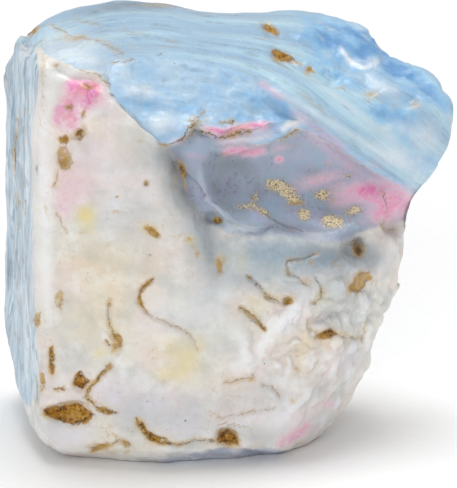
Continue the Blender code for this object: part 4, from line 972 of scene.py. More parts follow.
def within(u, v, corners):
    """How deep points are inside a closed outline, in millimetres, below 0 outside it."""
    ring = np.array(corners + corners[:1], float)
    nearest = np.full(len(u), FAR)
    inside = np.zeros(len(u), bool)
    for start, step in zip(ring, np.diff(ring, axis=0)):
        du, dv = u - start[0], v - start[1]
        t = np.clip((du * step[0] + dv * step[1]) / (step @ step), 0.0, 1.0)
        nearest = np.minimum(nearest, np.hypot(du - t * step[0], dv - t * step[1]))
        beside = (dv < 0.0) != (dv < step[1])
        inside ^= beside & (du < dv * step[0] / (step[1] or 1.0))
    return np.where(inside, nearest, -nearest) / PER_MM


def deepest(u, v, outlines):
    """How deep points are inside the nearest of several outlines, and its strength."""
    depth = np.full(len(u), -FAR)
    strength = np.zeros(len(u))
    for corners, force in outlines:
        inward = within(u, v, corners)
        strength = np.where(inward > depth, force, strength)
        depth = np.maximum(inward, depth)
    return depth, strength


def tapered(share, ends=FORM_TAPER):
    return eased(share, 0.0, ends) * eased(1.0 - share, 0.0, ends)


def groove(u, v, corners, width, depth):
    away, share = beside_path(u, v, corners, GROOVE_REACH * width * PER_MM)
    return -depth * np.exp(-((away / PER_MM / width) ** 2)) * tapered(share)


def ledge(u, v, corners, rise, drop, run):
    """A step along a path: the right-hand side stands up and the left-hand side falls."""
    away, share = beside_path(u, v, corners, LEDGE_REACH * run * PER_MM)
    away = away / PER_MM
    up = rise * np.exp(-np.maximum(away, 0.0) / run) * eased(away, *STEP_TOP)
    down = drop * np.exp(np.minimum(away, 0.0) / run) * eased(-away, *STEP_FOOT)
    return np.where(np.abs(away) < FAR / PER_MM, up - down, 0.0) * tapered(share)


def spread(u, v, at, size, turn):
    """The square of the distance from a place in the picture, 1 on its turned oval."""
    angle = math.radians(turn)
    du, dv = u - at[0], v - at[1]
    along = (du * math.cos(angle) + dv * math.sin(angle)) / size[0]
    across = (dv * math.cos(angle) - du * math.sin(angle)) / size[1]
    return along**2 + across**2


def in_points(size):
    return size[0] * PER_MM, size[1] * PER_MM


def swell(u, v, at, size, turn, height):
    """A smooth hump, or a dent where the height is negative. size is its half axes."""
    return height * np.exp(-spread(u, v, at, in_points(size), turn))


def bowl(u, v, at, size, turn, depth, soft):
    """A round-bottomed hollow with a rim that turns over within soft of its half axes."""
    inward = (1.0 - spread(u, v, at, in_points(size), turn)) / soft
    return -depth * soft * np.logaddexp(0.0, np.minimum(inward, DEEPEST_BOWL))


def rolling(name, points):
    """Even rolling noise of a named kind, about as high and as low as its strength."""
    strength, spacing, octaves, shift, squeeze = ROLLS[name]
    offset = SEED_SHIFT * shift
    heights = [
        noise.fractal(Vector(point) / spacing + offset, ROLL_FALL, ROLL_GAP, octaves)
        for point in points * np.array(squeeze)
    ]
    return strength * np.array(heights)


def marked(u, v, spots=(), strokes=()):
    """How strongly spots and soft strokes colour each point, from 0 to 1."""
    bare = np.ones(len(u))
    for x, y, wide, tall, turn, strength in spots:
        bare *= 1.0 - strength * np.exp(-spread(u, v, (x, y), (wide, tall), turn))
    for corners, width, strength in strokes:
        away, share = beside_path(u, v, corners, SOFT_STROKE_REACH * width)
        fading = tapered(share, SOFT_STROKE_TAPER)
        bare *= 1.0 - strength * np.exp(-((away / width) ** 2)) * fading
    return 1.0 - bare


def nearest_stroke(u, v, strokes):
    """Distance in millimetres from the nearest stroke's middle, and that stroke's strength.

    The distance changes sign from one side of the stroke to the other.
    """
    nearest = np.full(len(u), FAR)
    strength = np.zeros(len(u))
    for corners, force in strokes:
        away, share = beside_path(u, v, corners, STROKE_REACH)
        closer = np.abs(away) < np.abs(nearest)
        nearest = np.where(closer, away, nearest)
        strength = np.where(closer, force * tapered(share, STROKE_TAPER), strength)
    return nearest / PER_MM, strength


class Skin:
    """The stone's surface: rows of points, in millimetres, and four-cornered faces."""

    def __init__(self, points, faces):
        self.points = points
        self.faces = faces
        self.starts = faces.ravel()
        self.ends = np.roll(faces, -1, axis=1).ravel()
        self.degree = np.bincount(self.starts, minlength=len(points))

    def gathered(self, rows, index):
        return np.stack(
            [np.bincount(index, weights=rows[:, k], minlength=len(self.points)) for k in range(3)],
            axis=1,
        )

    def normals(self):
        corner = self.points[self.faces]
        across = np.cross(corner[:, 2] - corner[:, 0], corner[:, 3] - corner[:, 1])
        total = self.gathered(np.repeat(across, 4, axis=0), self.faces.ravel())
        return total / np.linalg.norm(total, axis=1)[:, None]

    def facing(self, azimuth, window):
        """How squarely each point faces the standpoint at azimuth, as a share."""
        _, _, forward = standpoint(azimuth)
        return eased(-self.normals() @ forward, *window)

    def round_off(self, passes):
        for _ in range(passes):
            middle = self.gathered(self.points[self.ends], self.starts) / self.degree[:, None]
            self.points = 0.5 * (self.points + middle)

    def lift(self, height):
        self.points = self.points + self.normals() * height[:, None]

    def stand(self):
        """Flattens what reaches below the base."""
        self.points[:, 2] = np.maximum(self.points[:, 2], 0.0)


def ball(cuts):
    """Directions from the heart, evenly spread on a cube's six faces, and their quads."""
    steps = np.arange(-cuts, cuts + 1, 2)
    first, second = np.meshgrid(steps, steps, indexing="ij")
    grids = []
    for axis in range(3):
        for side in (-1, 1):
            grid = np.empty(first.shape + (3,), int)
            grid[..., axis] = side * cuts
            grid[..., (axis + 1) % 3] = first if side > 0 else second
            grid[..., (axis + 2) % 3] = second if side > 0 else first
            grids.append(grid.reshape(-1, 3))
    lattice, index = np.unique(np.concatenate(grids), axis=0, return_inverse=True)
    index = index.reshape(6, cuts + 1, cuts + 1)
    faces = np.stack(
        [index[:, :-1, :-1], index[:, 1:, :-1], index[:, 1:, 1:], index[:, :-1, 1:]],
        axis=-1,
    ).reshape(-1, 4)
    ways = np.tan(lattice / cuts * math.pi / 4.0)
    return ways / np.linalg.norm(ways, axis=1)[:, None], faces


def leaning(ways):
    """Draws the directions together towards the front, where the finest marks are."""
    right, up, forward = standpoint(0.0)
    ways = ways @ np.stack([right, up, -forward])
    along = ways @ -forward
    across = ways + along[:, None] * forward
    nearer = 1.0 + SKIN_LEAN * along
    along = (along + SKIN_LEAN) / nearer
    across = across * (math.sqrt(1.0 - SKIN_LEAN**2) / nearer)[:, None]
    return across - along[:, None] * forward


def block_skin(cuts):
    """The skin drawn in, towards the heart, onto the block round the corners."""
    block = bmesh.new()
    for corner in CORNERS.values():
        block.verts.new(corner)
    bmesh.ops.convex_hull(block, input=block.verts)
    block.normal_update()
    normals = np.array([face.normal for face in block.faces])
    on_face = np.array([face.verts[0].co for face in block.faces])
    block.free()
    distances = np.einsum("ij,ij->i", on_face - HEART, normals)
    normals = normals * np.sign(distances)[:, None]
    ways, faces = ball(cuts)
    ways = leaning(ways)
    nearness = (ways @ normals.T) / np.abs(distances)
    return Skin(HEART + ways / nearness.max(axis=1)[:, None], faces)


def side_relief(u, v, bowls, swells, grooves, ledges):
    """The summed height of one side's forms, in millimetres."""
    height = np.zeros(len(u))
    for values in bowls.values():
        height += bowl(u, v, *values)
    for values in swells.values():
        height += swell(u, v, *values)
    for corners, width, depth in grooves.values():
        height += groove(u, v, corners, width * CRACK_NARROWING, depth * CRACK_DEPTH)
    for values in ledges.values():
        height += ledge(u, v, *values)
    return height


def carve(skin):
    """The forms of the plain solid: humps, hollows, steps, cracks and broken relief."""
    height = np.zeros(len(skin.points))
    for centre, size, lift in SPACE_SWELLS.values():
        away = (skin.points - np.array(centre)) / np.array(size)
        height += lift * np.exp(-(away**2).sum(axis=1))
    skin.lift(height)
    for azimuth, *forms in SIDES:
        height = side_relief(*in_view(skin.points, azimuth), *forms)
        skin.lift(FORM_DEPTH * height * skin.facing(azimuth, FORM_WINDOW))
    points, normals = skin.points, skin.normals()
    behind = eased(points @ BACKWARD, *BACK_BREAK)
    leftward = eased(-normals[:, 0], *FLUTED_TURN) * (1.0 - behind)
    height = rolling("broken_surface", points)
    height += behind * rolling("back_knobs", points)
    height += leftward * rolling("left_flutes", points)
    skin.lift(height)
    skin.stand()


def fan(u, v, ribbon):
    """Along and across the bands that fan out over the top, both in millimetres.

    The bands run between the crest and the ribbon's lower edge, and ribbon is how far
    a point is below that edge.
    """
    crest, _ = beside_path(u, v, CREST_LINE)
    share = crest / (np.abs(crest) + np.abs(ribbon) + 1.0)
    return u / PER_MM, FAN_WIDTH * share - np.maximum(ribbon, 0.0) / PER_MM


def read_colours(skin):
    """Every colour field of the stone: one number per point under each field's name."""
    points, normals = skin.points, skin.normals()
    shake_u, shake_v = rolling("shake_across", points), rolling("shake_down", points)
    backward = eased(normals[:, 1], *BACK_TURN)
    seen = skin.facing(0.0, COLOUR_WINDOW)
    u, v = in_view(points, 0.0)
    ribbon, _ = beside_path(u, v, RIBBON_EDGE)
    along, across = fan(u, v, ribbon)
    u = u + shake_u + backward * rolling("stray_across", points)
    v = v + shake_v + backward * rolling("stray_down", points)
    blue, lip, foot = (
        beside_path(u, v, line)[0] for line in (BLUE_EDGE, HOLLOW_LIP, FOOT_EDGE)
    )
    leftward = eased(-normals[:, 0], *LEFT_TURN) * eased(-u, *LEFT_FADE_ACROSS)
    leftward = leftward * eased(-v, *LEFT_FADE_DOWN)
    leftward = leftward * (1.0 - marked(u, v, strokes=[LEFT_RIDGE]))
    curdled = marked(u, v, LUMPY_SPOTS)
    folds = np.abs(rolling("curds", points)) - CURD_MIDDLE
    fields = {
        name: marked(u, v, spots, STROKES.get(name, ())) * seen for name, spots in SPOTS.items()
    }
    line, force = nearest_stroke(u, v, RUST_STROKES)
    force = force * seen
    for azimuth, _, _, grooves, _ in SIDES[1:]:
        side_u, side_v = in_view(points, azimuth)
        side_u, side_v = side_u + shake_u, side_v + shake_v
        window = skin.facing(azimuth, COLOUR_WINDOW)
        strokes = [(corners, SIDE_STROKE_FORCE) for corners, _, _ in grooves.values()]
        side_line, side_force = nearest_stroke(side_u, side_v, strokes)
        stronger = side_force * window > force
        line = np.where(stronger, side_line, line)
        force = np.where(stronger, side_force * window, force)
        for name, spots in OTHER_SIDES[azimuth].items():
            fields[name] = np.maximum(fields[name], marked(side_u, side_v, spots) * window)
    chip, chip_rust = deepest(u, v, CHIPS)
    fields.update(
        blue_away=-blue / PER_MM,
        ribbon_away=-ribbon / PER_MM,
        hollow_in=np.minimum(blue, -lip) / PER_MM,
        deep=marked(u, v, DEEP_SPOTS),
        foot=foot / PER_MM,
        leftward=leftward,
        along=along,
        across=across,
        lumps=curdled * folds + (1.0 - curdled) * rolling("milk", points),
        line=line,
        force=force,
        chip=chip,
        chip_rust=chip_rust * seen,
    )
    return fields


def fine_relief(skin, fields):
    """Relief that follows the colours: bands, flutes, pits, scabs and knobs."""
    points = skin.points
    at = SimpleNamespace(**fields)
    bands = np.stack([at.along, at.across, at.lumps], axis=1)
    blue_side = eased(at.blue_away, *TOP_RISE)
    in_hollow = eased(at.hollow_in, *HOLLOW_RISE)
    facet = blue_side * eased(-at.ribbon_away, *FACET_RISE)
    rough = eased(at.deep, *DEEP_RISE) * blue_side
    front = (1.0 - blue_side) * (1.0 - in_hollow) * (1.0 - at.leftward)
    scabs = SCAB_RISE * (at.rust + at.gold) + PINK_SCAB_RISE * at.pink * (1.0 - blue_side)
    height = rolling("fine_roll", points)
    height += FOLD_RISE * front * at.lumps
    height += blue_side * (1.0 - rough) * rolling("top_bands", bands)
    height += rough * rolling("upper_right_knobs", points)
    height += at.leftward * rolling("left_fibres", points)
    height += scabs * rolling("scabs", points)
    height += facet * rolling("facet_ripples", points)
    height += WHITE_RISE * at.white_and_highlight + GOLD_RISE * at.gold
    height -= RUST_PIT * at.rust + DARK_PIT * at.dark
    height -= HAIR_CRACK * at.force * np.exp(-((at.line / HAIR_CRACK_WIDTH) ** 2))
    height -= CHIP_PIT * at.chip_rust * eased(at.chip, *CHIP_RISE)
    height[points[:, 2] <= 0.0] = 0.0
    return height


def maths(operation, swapped=False):
    """An operator that adds a Math node, with its two values swapped for reflected forms."""

    def made(value, other):
        pair = (other, value) if swapped else (value, other)
        return value.sum_of(operation, *pair)

    return made


class Value:
    """One shader socket, so that shader maths reads as plain sums."""

    def __init__(self, recipe, socket):
        self.recipe = recipe
        self.socket = socket

    def sum_of(self, operation, first, second, clamp=False):
        settings = {"operation": operation, "use_clamp": clamp}
        node = self.recipe.add("ShaderNodeMath", settings, {0: first, 1: second})
        return Value(self.recipe, node.outputs[0])

    __add__ = maths("ADD")
    __radd__ = maths("ADD", swapped=True)
    __sub__ = maths("SUBTRACT")
    __rsub__ = maths("SUBTRACT", swapped=True)
    __mul__ = maths("MULTIPLY")
    __rmul__ = maths("MULTIPLY", swapped=True)

    def size(self):
        return self.sum_of("ABSOLUTE", self, 0.0)

    def clamped(self):
        return self.sum_of("ADD", self, 0.0, clamp=True)

    def eased(self, low, high):
        """0 below low, 1 above high and a smooth rise between them."""
        settings = {"interpolation_type": "SMOOTHSTEP", "clamp": True}
        inputs = {"Value": self, "From Min": low, "From Max": high}
        node = self.recipe.add("ShaderNodeMapRange", settings, inputs)
        return Value(self.recipe, node.outputs["Result"])

    def near(self, middle, width):
        """1 where the value is at middle, falling to 0 at width to either side."""
        return 1.0 - (self - middle).size().eased(0.0, width)


class Recipe:
    """A material's node tree and the few ways in which its nodes are made."""

    def __init__(self, name):
        self.material = bpy.data.materials.new(name)
        self.material.use_nodes = True
        self.tree = self.material.node_tree
        self.tree.nodes.clear()

    def add(self, kind, settings=None, inputs=None):
        """A node of a kind, with its settings first and then its sockets' values or links."""
        node = self.tree.nodes.new(kind)
        for name, setting in (settings or {}).items():
            if name == "stops":
                self.set_stops(node.color_ramp, setting)
            else:
                setattr(node, name, setting)
        for name, value in (inputs or {}).items():
            if isinstance(value, Value):
                self.tree.links.new(value.socket, node.inputs[name])
            else:
                node.inputs[name].default_value = value
        return node

    def set_stops(self, ramp, stops):
        while len(ramp.elements) < len(stops):
            ramp.elements.new(0.5)
        for element, (place, colour) in zip(ramp.elements, stops):
            element.position = place
            element.color = (*colour, 1.0)

    def field(self, name):
        """The three numbers that a named attribute holds at each point of the skin."""
        read = self.add("ShaderNodeAttribute", {"attribute_name": name})
        return Value(self, read.outputs["Vector"])

    def parts(self, vector):
        split = self.add("ShaderNodeSeparateXYZ", None, {0: vector})
        return [Value(self, socket) for socket in split.outputs]

    def place(self):
        """Where on the stone, in metres."""
        return Value(self, self.add("ShaderNodeTexCoord").outputs["Object"])

    def stretched(self, place, scale, shift=STILL):
        moved = self.add(
            "ShaderNodeVectorMath", {"operation": "MULTIPLY_ADD"}, {0: place, 1: scale, 2: shift}
        )
        return Value(self, moved.outputs[0])

    def noise(self, place, scale, detail, rough=0.55, bend=0.0, squeeze=EVEN, shift=STILL):
        inputs = {
            "Vector": self.stretched(place, squeeze, shift),
            "Scale": scale,
            "Detail": detail,
            "Roughness": rough,
            "Distortion": bend,
        }
        node = self.add("ShaderNodeTexNoise", None, inputs)
        return Value(self, node.outputs["Fac"])

    def cells(self, place, scale):
        node = self.add("ShaderNodeTexVoronoi", None, {"Vector": place, "Scale": scale})
        return Value(self, node.outputs["Distance"])

    def mix(self, share, first, second):
        """A colour that goes from the first to the second as share goes from 0 to 1."""
        ends = [end if isinstance(end, Value) else full(end) for end in (first, second)]
        settings = {"data_type": "RGBA", "clamp_factor": True}
        node = self.add("ShaderNodeMix", settings, {0: share, 6: ends[0], 7: ends[1]})
        return Value(self, node.outputs[2])

    def layered(self, coat, *layers):
        """A colour with others laid over it in turn, each as strongly as its share."""
        for share, colour in layers:
            coat = self.mix(share, coat, colour)
        return coat

    def ramp(self, share, *stops):
        node = self.add("ShaderNodeValToRGB", {"stops": stops}, {0: share})
        return Value(self, node.outputs["Color"])

    def finished(self, inputs):
        """The material, with one principled shader that takes the inputs."""
        shader = self.add("ShaderNodeBsdfPrincipled", None, inputs)
        self.add("ShaderNodeOutputMaterial", None, {0: Value(self, shader.outputs["BSDF"])})
        return self.material


def linear(red, green, blue):
    """The light that a screen colour stands for."""
    return tuple(
        (part / 12.92 if part <= 0.04045 else ((part + 0.055) / 1.055) ** 2.4)
        for part in (red / 255.0, green / 255.0, blue / 255.0)
    )


def full(colour):
    return (*tuple(colour)[:3], 1.0)


class OpalRecipe(Recipe):
    """Waxy common opal: blue bands over cream, with pink, yellow and rusty stains, and with
    painted shade and painted highlights.

    at holds the skin's fields, grain the noises that break them up, and paint the
    colours. A share says how strongly a colour is laid on, from 0 to 1.
    """

    def __init__(self, colours):
        super().__init__("blue_opal")
        fields, grains = {}, {}
        for name, parts in FIELDS.items():
            vector = self.field(name)
            fields.update(zip(parts, self.parts(vector)))
            fields[name] = vector
        self.spot = self.stretched(self.place(), (1.0 / MM,) * 3)
        for name, values in GRAINS.items():
            grains[name] = self.noise(self.spot, *values)
        for name, values in BAND_GRAINS.items():
            grains[name] = self.noise(fields["bands"], *values)
        self.at = SimpleNamespace(**fields)
        self.grain = SimpleNamespace(**grains)
        self.paint = colours

    def cream(self):
        """The front: clouds, sandy and clear patches, curds with painted highlight on their crests
        and painted shade in their creases, painted shade in the channel beside the hollow, and
        blue-grey painted shade in the band below it.
        """
        at, grain, paint = self.at, self.grain, self.paint
        veil, fine = grain.veil, grain.fine
        crease = (at.lumps + (fine - 0.5) * 0.5).eased(-0.22, -0.42)
        return self.layered(
            paint.cream,
            (grain.cloud.eased(0.38, 0.64), paint.rosy_cream),
            (grain.patch.eased(0.56, 0.34) * 0.6, paint.grey),
            ((at.warm * (0.3 + 1.4 * veil)).clamped(), paint.warm_cream),
            (veil.eased(0.48, 0.74) * 0.6, paint.white_and_highlight),
            # Painted highlight on the crests of the lumps and painted shade in their creases; the
            # same lumps raise the relief.
            (at.lumps.eased(0.05, 0.55) * 0.6, paint.white_and_highlight),
            (at.lumps.eased(-0.05, -0.55) * 0.55, paint.grey),
            (crease * veil.eased(0.44, 0.60) * 0.6, paint.ochre),
            (fine.eased(0.50, 0.72) * veil.eased(0.40, 0.60) * 0.30, paint.sand),
            ((at.lavender * (0.5 + 1.1 * veil)).clamped(), paint.lavender),
            # Grey spots, partly painted shade beside the hollow.
            ((at.grey * (0.6 + 0.8 * fine)).clamped() * 0.9, paint.grey),
            # Blue-grey painted shade in the band below the hollow.
            ((at.under * (0.7 + 0.6 * fine)).clamped() * 0.9, paint.shade_below_hollow_blue),
        )

    def lip(self):
        """The clear lip at the foot."""
        paint = self.paint
        return self.mix(self.grain.veil.eased(0.4, 0.6), paint.lip_blue, paint.lip_pale)

    def hollow(self):
        """The scooped hollow: grey blue with lilac clouds and smoky clots."""
        grain, paint = self.grain, self.paint
        clots = grain.fine.eased(0.50, 0.66) * grain.curds.eased(0.46, 0.60)
        return self.layered(
            paint.hollow_blue,
            (grain.veil.eased(0.35, 0.65), paint.lilac),
            (grain.patch.eased(0.50, 0.66) * 0.5, paint.hollow_grey),
            (clots * 0.5, paint.smoke),
            (grain.curds.eased(0.46, 0.34) * 0.4, paint.blue),
        )

    def top(self, thread):
        """The fanning bands, the smooth break below them and the deep blue at the right."""
        at, grain, paint = self.at, self.grain, self.paint
        veil = grain.veil
        tan = grain.threads.near(0.57, 0.025) * veil.eased(0.52, 0.40)
        bands = self.ramp(
            grain.streaks,
            (0.36, paint.blue),
            (0.47, paint.pale_blue),
            (0.56, paint.teal),
            (0.66, paint.ice),
        )
        ribbon = self.layered(bands, (thread * 0.5, paint.slate), (tan * 0.45, paint.tan))
        shade = (grain.milky - 0.5).size().eased(0.04, 0.0) * veil.eased(0.56, 0.44)
        deep_share = at.deep + (grain.mottle - 0.5) * 2.2 * at.deep.eased(0.0, 0.3)
        curdy = at.deep.eased(0.1, 0.5) * (1.0 - at.deep.eased(0.82, 0.97))
        return self.layered(
            paint.facet_blue,
            (veil.eased(0.40, 0.70) * 0.6, paint.ice),
            (grain.patch.eased(0.48, 0.70) * 0.5, paint.ice),
            (shade * 0.30, paint.slate),
            ((at.ribbon_away + (grain.fine - 0.5) * 0.6).eased(-0.4, 0.4), ribbon),
            (deep_share.eased(0.0, 0.5) * 0.85, paint.mid_blue),
            (deep_share.eased(0.35, 1.1) * 0.9, paint.deep_blue),
            (curdy * grain.curds.eased(0.50, 0.66) * 0.7, paint.pale_blue),
            (curdy * grain.curds.eased(0.58, 0.70) * 0.65, paint.ice),
        )

    def left_face(self):
        """Upright fibres, from dark blue to white."""
        grain, paint = self.grain, self.paint
        fibres = self.ramp(
            grain.fibres,
            (0.34, paint.side_dark),
            (0.44, paint.side_blue),
            (0.54, paint.side_pale),
            (0.66, paint.white_and_highlight),
        )
        return self.layered(
            fibres,
            (grain.flecks.eased(0.56, 0.70) * 0.55, paint.slate),
            (grain.flecks.eased(0.40, 0.30) * 0.3, paint.tan),
            (grain.patch.eased(0.46, 0.60) * 0.4, paint.pale_blue),
            (grain.veil.eased(0.52, 0.64) * 0.55, paint.side_dark),
        )

    def stained(self, coat, hollow_share):
        """Smoky patches and painted shade, white patches and painted highlights, yellow and pink
        stains, and white glints of painted highlight on the pink, over a coat.
        """
        at, grain, paint = self.at, self.grain, self.paint
        veil, fine = grain.veil, grain.fine
        broken = 0.55 + 0.9 * fine
        pink_now = (at.pink * (0.35 + 1.3 * fine)).clamped()
        warmth = veil.eased(0.44, 0.56) * (1.0 - hollow_share)
        return self.layered(
            coat,
            # Smoke spots: smoky patches, and painted shade in the hollow, under ledges and in
            # valleys.
            ((at.smoke * (0.6 + 0.8 * veil)).clamped() * 0.8, paint.smoke),
            ((at.white_and_highlight * broken).clamped(), paint.white_and_highlight),
            ((at.yellow * broken).clamped() * 0.8, paint.yellow),
            (pink_now.eased(0.0, 0.75), paint.pale_pink),
            (pink_now.eased(0.42, 1.0) * 0.8, self.mix(warmth, paint.pink, paint.salmon)),
            # White glints on the pink are painted highlights.
            (at.pink * grain.speck.eased(0.56, 0.72) * 0.5, paint.white_and_highlight),
        )

    def sandy(self, coat, grains):
        """Grains of sand and gold in the hollow, in a smoky haze."""
        paint = self.paint
        sand = self.ramp(
            self.grain.grit,
            (0.32, paint.umber),
            (0.40, paint.tan),
            (0.47, paint.sand),
            (0.56, paint.gold),
        )
        return self.layered(coat, (self.at.gold * 0.3, paint.smoke), (grains * 0.9, sand))

    def cracked(self, coat, crack, force, top_share):
        """Cracks with a golden edge, and hair lines that keep off the blue top."""
        at, grain, paint = self.at, self.grain, self.paint
        veil, fine = grain.veil, grain.fine
        glow = (1.0 - (at.line + (fine - 0.5) * 1.2).size().eased(0.05, 0.65)) * force
        rusty = self.mix(fine.eased(0.54, 0.66), paint.umber, paint.rust)
        hairline = grain.hair.near(0.5, 0.010) * grain.patch.eased(0.50, 0.60)
        hairline = hairline * (1.0 - top_share) * fine.eased(0.40, 0.55)
        return self.layered(
            coat,
            (glow * veil.eased(0.36, 0.56) * 0.75, paint.ochre),
            (crack * 0.95, rusty),
            (hairline * 0.45, paint.ochre),
        )

    def rusted(self, coat, core):
        """Rusty spots with an ochre halo and dark pricks."""
        at, grain, paint = self.at, self.grain, self.paint
        halo = (at.rust + (grain.fine - 0.5) * 0.5).eased(0.05, 0.65)
        rusty = self.mix(grain.fine.eased(0.52, 0.70) * 0.6, paint.rust, paint.ochre)
        pricks = (at.rust * 0.8 + (grain.speck - 0.5) * 1.9).eased(0.62, 0.90)
        return self.layered(
            coat, (halo * 0.65, paint.ochre), (core * 0.95, rusty), (pricks * 0.85, paint.umber)
        )

    def chipped(self, coat, chip_edge, chip):
        """Chips with rusty floors that darken towards the rim as painted shade, a dark brim that
        is partly rust and partly painted shade, and a faint stain round them.
        """
        at, grain, paint = self.at, self.grain, self.paint
        fine = grain.fine
        tone = 0.65 - 0.18 * at.chip_rust + (fine - 0.5) * 0.9 + (grain.grit - 0.5) * 0.4
        # The floor lightens towards its middle and darkens at its rim: painted shade.
        floor = self.ramp(
            tone + (at.chip * 0.12).clamped(),
            (0.38, paint.umber),
            (0.47, paint.rust),
            (0.56, paint.honey),
            (0.66, paint.ochre),
        )
        # A dark brim round rusty chips: partly rust, partly painted shade at the rim.
        rust_and_shade_brim = chip_edge.near(0.03, 0.16) * at.chip_rust * fine.eased(0.56, 0.42)
        stain = (1.0 - at.chip.eased(-0.1, -0.9)) * at.chip_rust * grain.veil.eased(0.40, 0.60)
        return self.layered(
            coat,
            (chip * (0.6 + 0.35 * at.chip_rust), floor),
            (rust_and_shade_brim * 0.9, paint.umber),
            (stain * (1.0 - chip) * 0.35, paint.ochre),
        )

    def speckled(self, coat, pits):
        """Sooty specks, pits, and a fine tooth of white and smoke."""
        grain, paint = self.grain, self.paint
        soot = (self.at.dark + (grain.speck - 0.5) * 0.9).eased(0.35, 0.90)
        tooth = (grain.speck - 0.5) * 0.5 + (grain.crumbs - 0.5) * 0.35
        return self.layered(
            coat,
            (soot * 0.85, paint.dark),
            (pits * 0.7, paint.umber),
            (tooth.eased(0.0, 0.30) * 0.22, paint.white_and_highlight),
            (tooth.eased(0.0, -0.30) * 0.20, paint.smoke),
        )

    def stone(self):
        """The whole material, from the cream up to the specks, with its relief and gloss."""
        at, grain = self.at, self.grain
        veil, fine, speck, grit = grain.veil, grain.fine, grain.speck, grain.grit
        ragged = (veil - 0.5) * 0.35 + (fine - 0.5) * 0.45
        lip_share = (at.foot + (fine - 0.5) * 0.4).eased(-0.1, 0.25)
        hollow_share = (at.hollow_in + ragged * 1.2).eased(-0.35, 0.45)
        top_share = (at.blue_away + ragged).eased(-0.12, 0.16)
        left_share = (at.leftward * (1.0 - top_share * 0.5)).eased(0.25, 0.75)
        thread = grain.threads.near(0.5, 0.03) * veil.eased(0.46, 0.62)
        grains = (at.gold * 1.3 + (speck - 0.5) * 1.9 + (fine - 0.5) * 1.1).eased(0.36, 0.85)
        force = (at.force * (0.35 + 1.3 * veil)).clamped()
        wander = at.line + (fine - 0.5) * 1.3 + (speck - 0.5) * 0.3
        crack = 1.0 - (wander * (2.0 - 1.3 * at.force)).size().eased(0.01, 0.13)
        crack = crack * (force * 1.5 * speck.eased(0.38, 0.54)).clamped()
        core = (at.rust + (speck - 0.5) * 0.5 + (fine - 0.5) * 0.7).eased(0.42, 0.95)
        chip_edge = at.chip + (fine - 0.5) * 1.4 + (speck - 0.5) * 0.5
        chip_floor = at.chip_rust * 1.5 + (fine - 0.5) * 2.0 + (grit - 0.5) * 1.2
        chip = chip_edge.eased(-0.05, 0.10) * chip_floor.eased(0.35, 0.70)
        pits = self.cells(self.spot, PIT_SPACING).eased(0.06, 0.03) * veil.eased(0.52, 0.62)

        coat = self.layered(
            self.cream(),
            (lip_share * 0.9, self.lip()),
            (hollow_share, self.hollow()),
            (top_share, self.top(thread)),
            (left_share, self.left_face()),
        )
        coat = self.stained(coat, hollow_share)
        coat = self.sandy(coat, grains)
        coat = self.cracked(coat, crack, force, top_share)
        coat = self.rusted(coat, core)
        coat = self.chipped(coat, chip_edge, chip)
        coat = self.speckled(coat, pits)

        height = fine * 0.6 + speck * 0.35 + grain.streaks * top_share * 0.6
        height = height + grain.fibres * at.leftward * 0.6 + (grains + core + chip) * grit * 0.5
        height = height - crack * 0.5 - thread * top_share * 0.15 - pits * 0.3
        bump = self.add(
            "ShaderNodeBump",
            None,
            {"Strength": BUMP_STRENGTH, "Distance": BUMP_DISTANCE, "Height": height},
        )
        dull = 0.30 * (core + chip) + 0.2 * grains + 0.15 * at.leftward
        return self.finished(
            {
                "Base Color": coat,
                "Roughness": (0.34 - 0.10 * veil + dull).clamped(),
                "Metallic": 0.0,
                "IOR": 1.45,
                "Specular IOR Level": 0.35,
                "Subsurface Weight": 0.25,
                "Subsurface Radius": (1.0, 0.85, 0.75),
                "Subsurface Scale": 0.0008,
                "Coat Weight": (0.28 - 0.28 * core - 0.28 * chip - 0.2 * grains).clamped(),
                "Coat Roughness": 0.2,
                "Normal": Value(self, bump.outputs["Normal"]),
            }
        )


def floor_material(colour):
    recipe = Recipe("pale_floor")
    tooth = recipe.noise(recipe.place(), FLOOR_TOOTH, 2.0)
    shade = recipe.mix(tooth, colour, FLOOR_SHADE)
    return recipe.finished({"Base Color": shade, "Roughness": 0.7})


def colour_prop(name, description, screen):
    return FloatVectorProperty(
        name=name,
        description=description,
        subtype="COLOR",
        size=3,
        min=0.0,
        max=1.0,
        default=linear(*screen),
    )


def number_prop(name, description, default, unit="NONE"):
    return FloatProperty(name=name, description=description, default=default, unit=unit)


class OpalSizes(PropertyGroup):
    width: number_prop(
        "Width", "Size from the left face to the right tip", STONE_SIZE[0], "LENGTH"
    )
    depth: number_prop("Depth", "Size from the cream front to the back", STONE_SIZE[1], "LENGTH")
    height: number_prop("Height", "Size from the flat base to the crest", STONE_SIZE[2], "LENGTH")
    skin_cuts: IntProperty(
        name="Skin cuts",
        description="Quads along each side of the six patches that make the skin",
        default=SKIN_CUTS,
        min=16,
        max=128,
    )


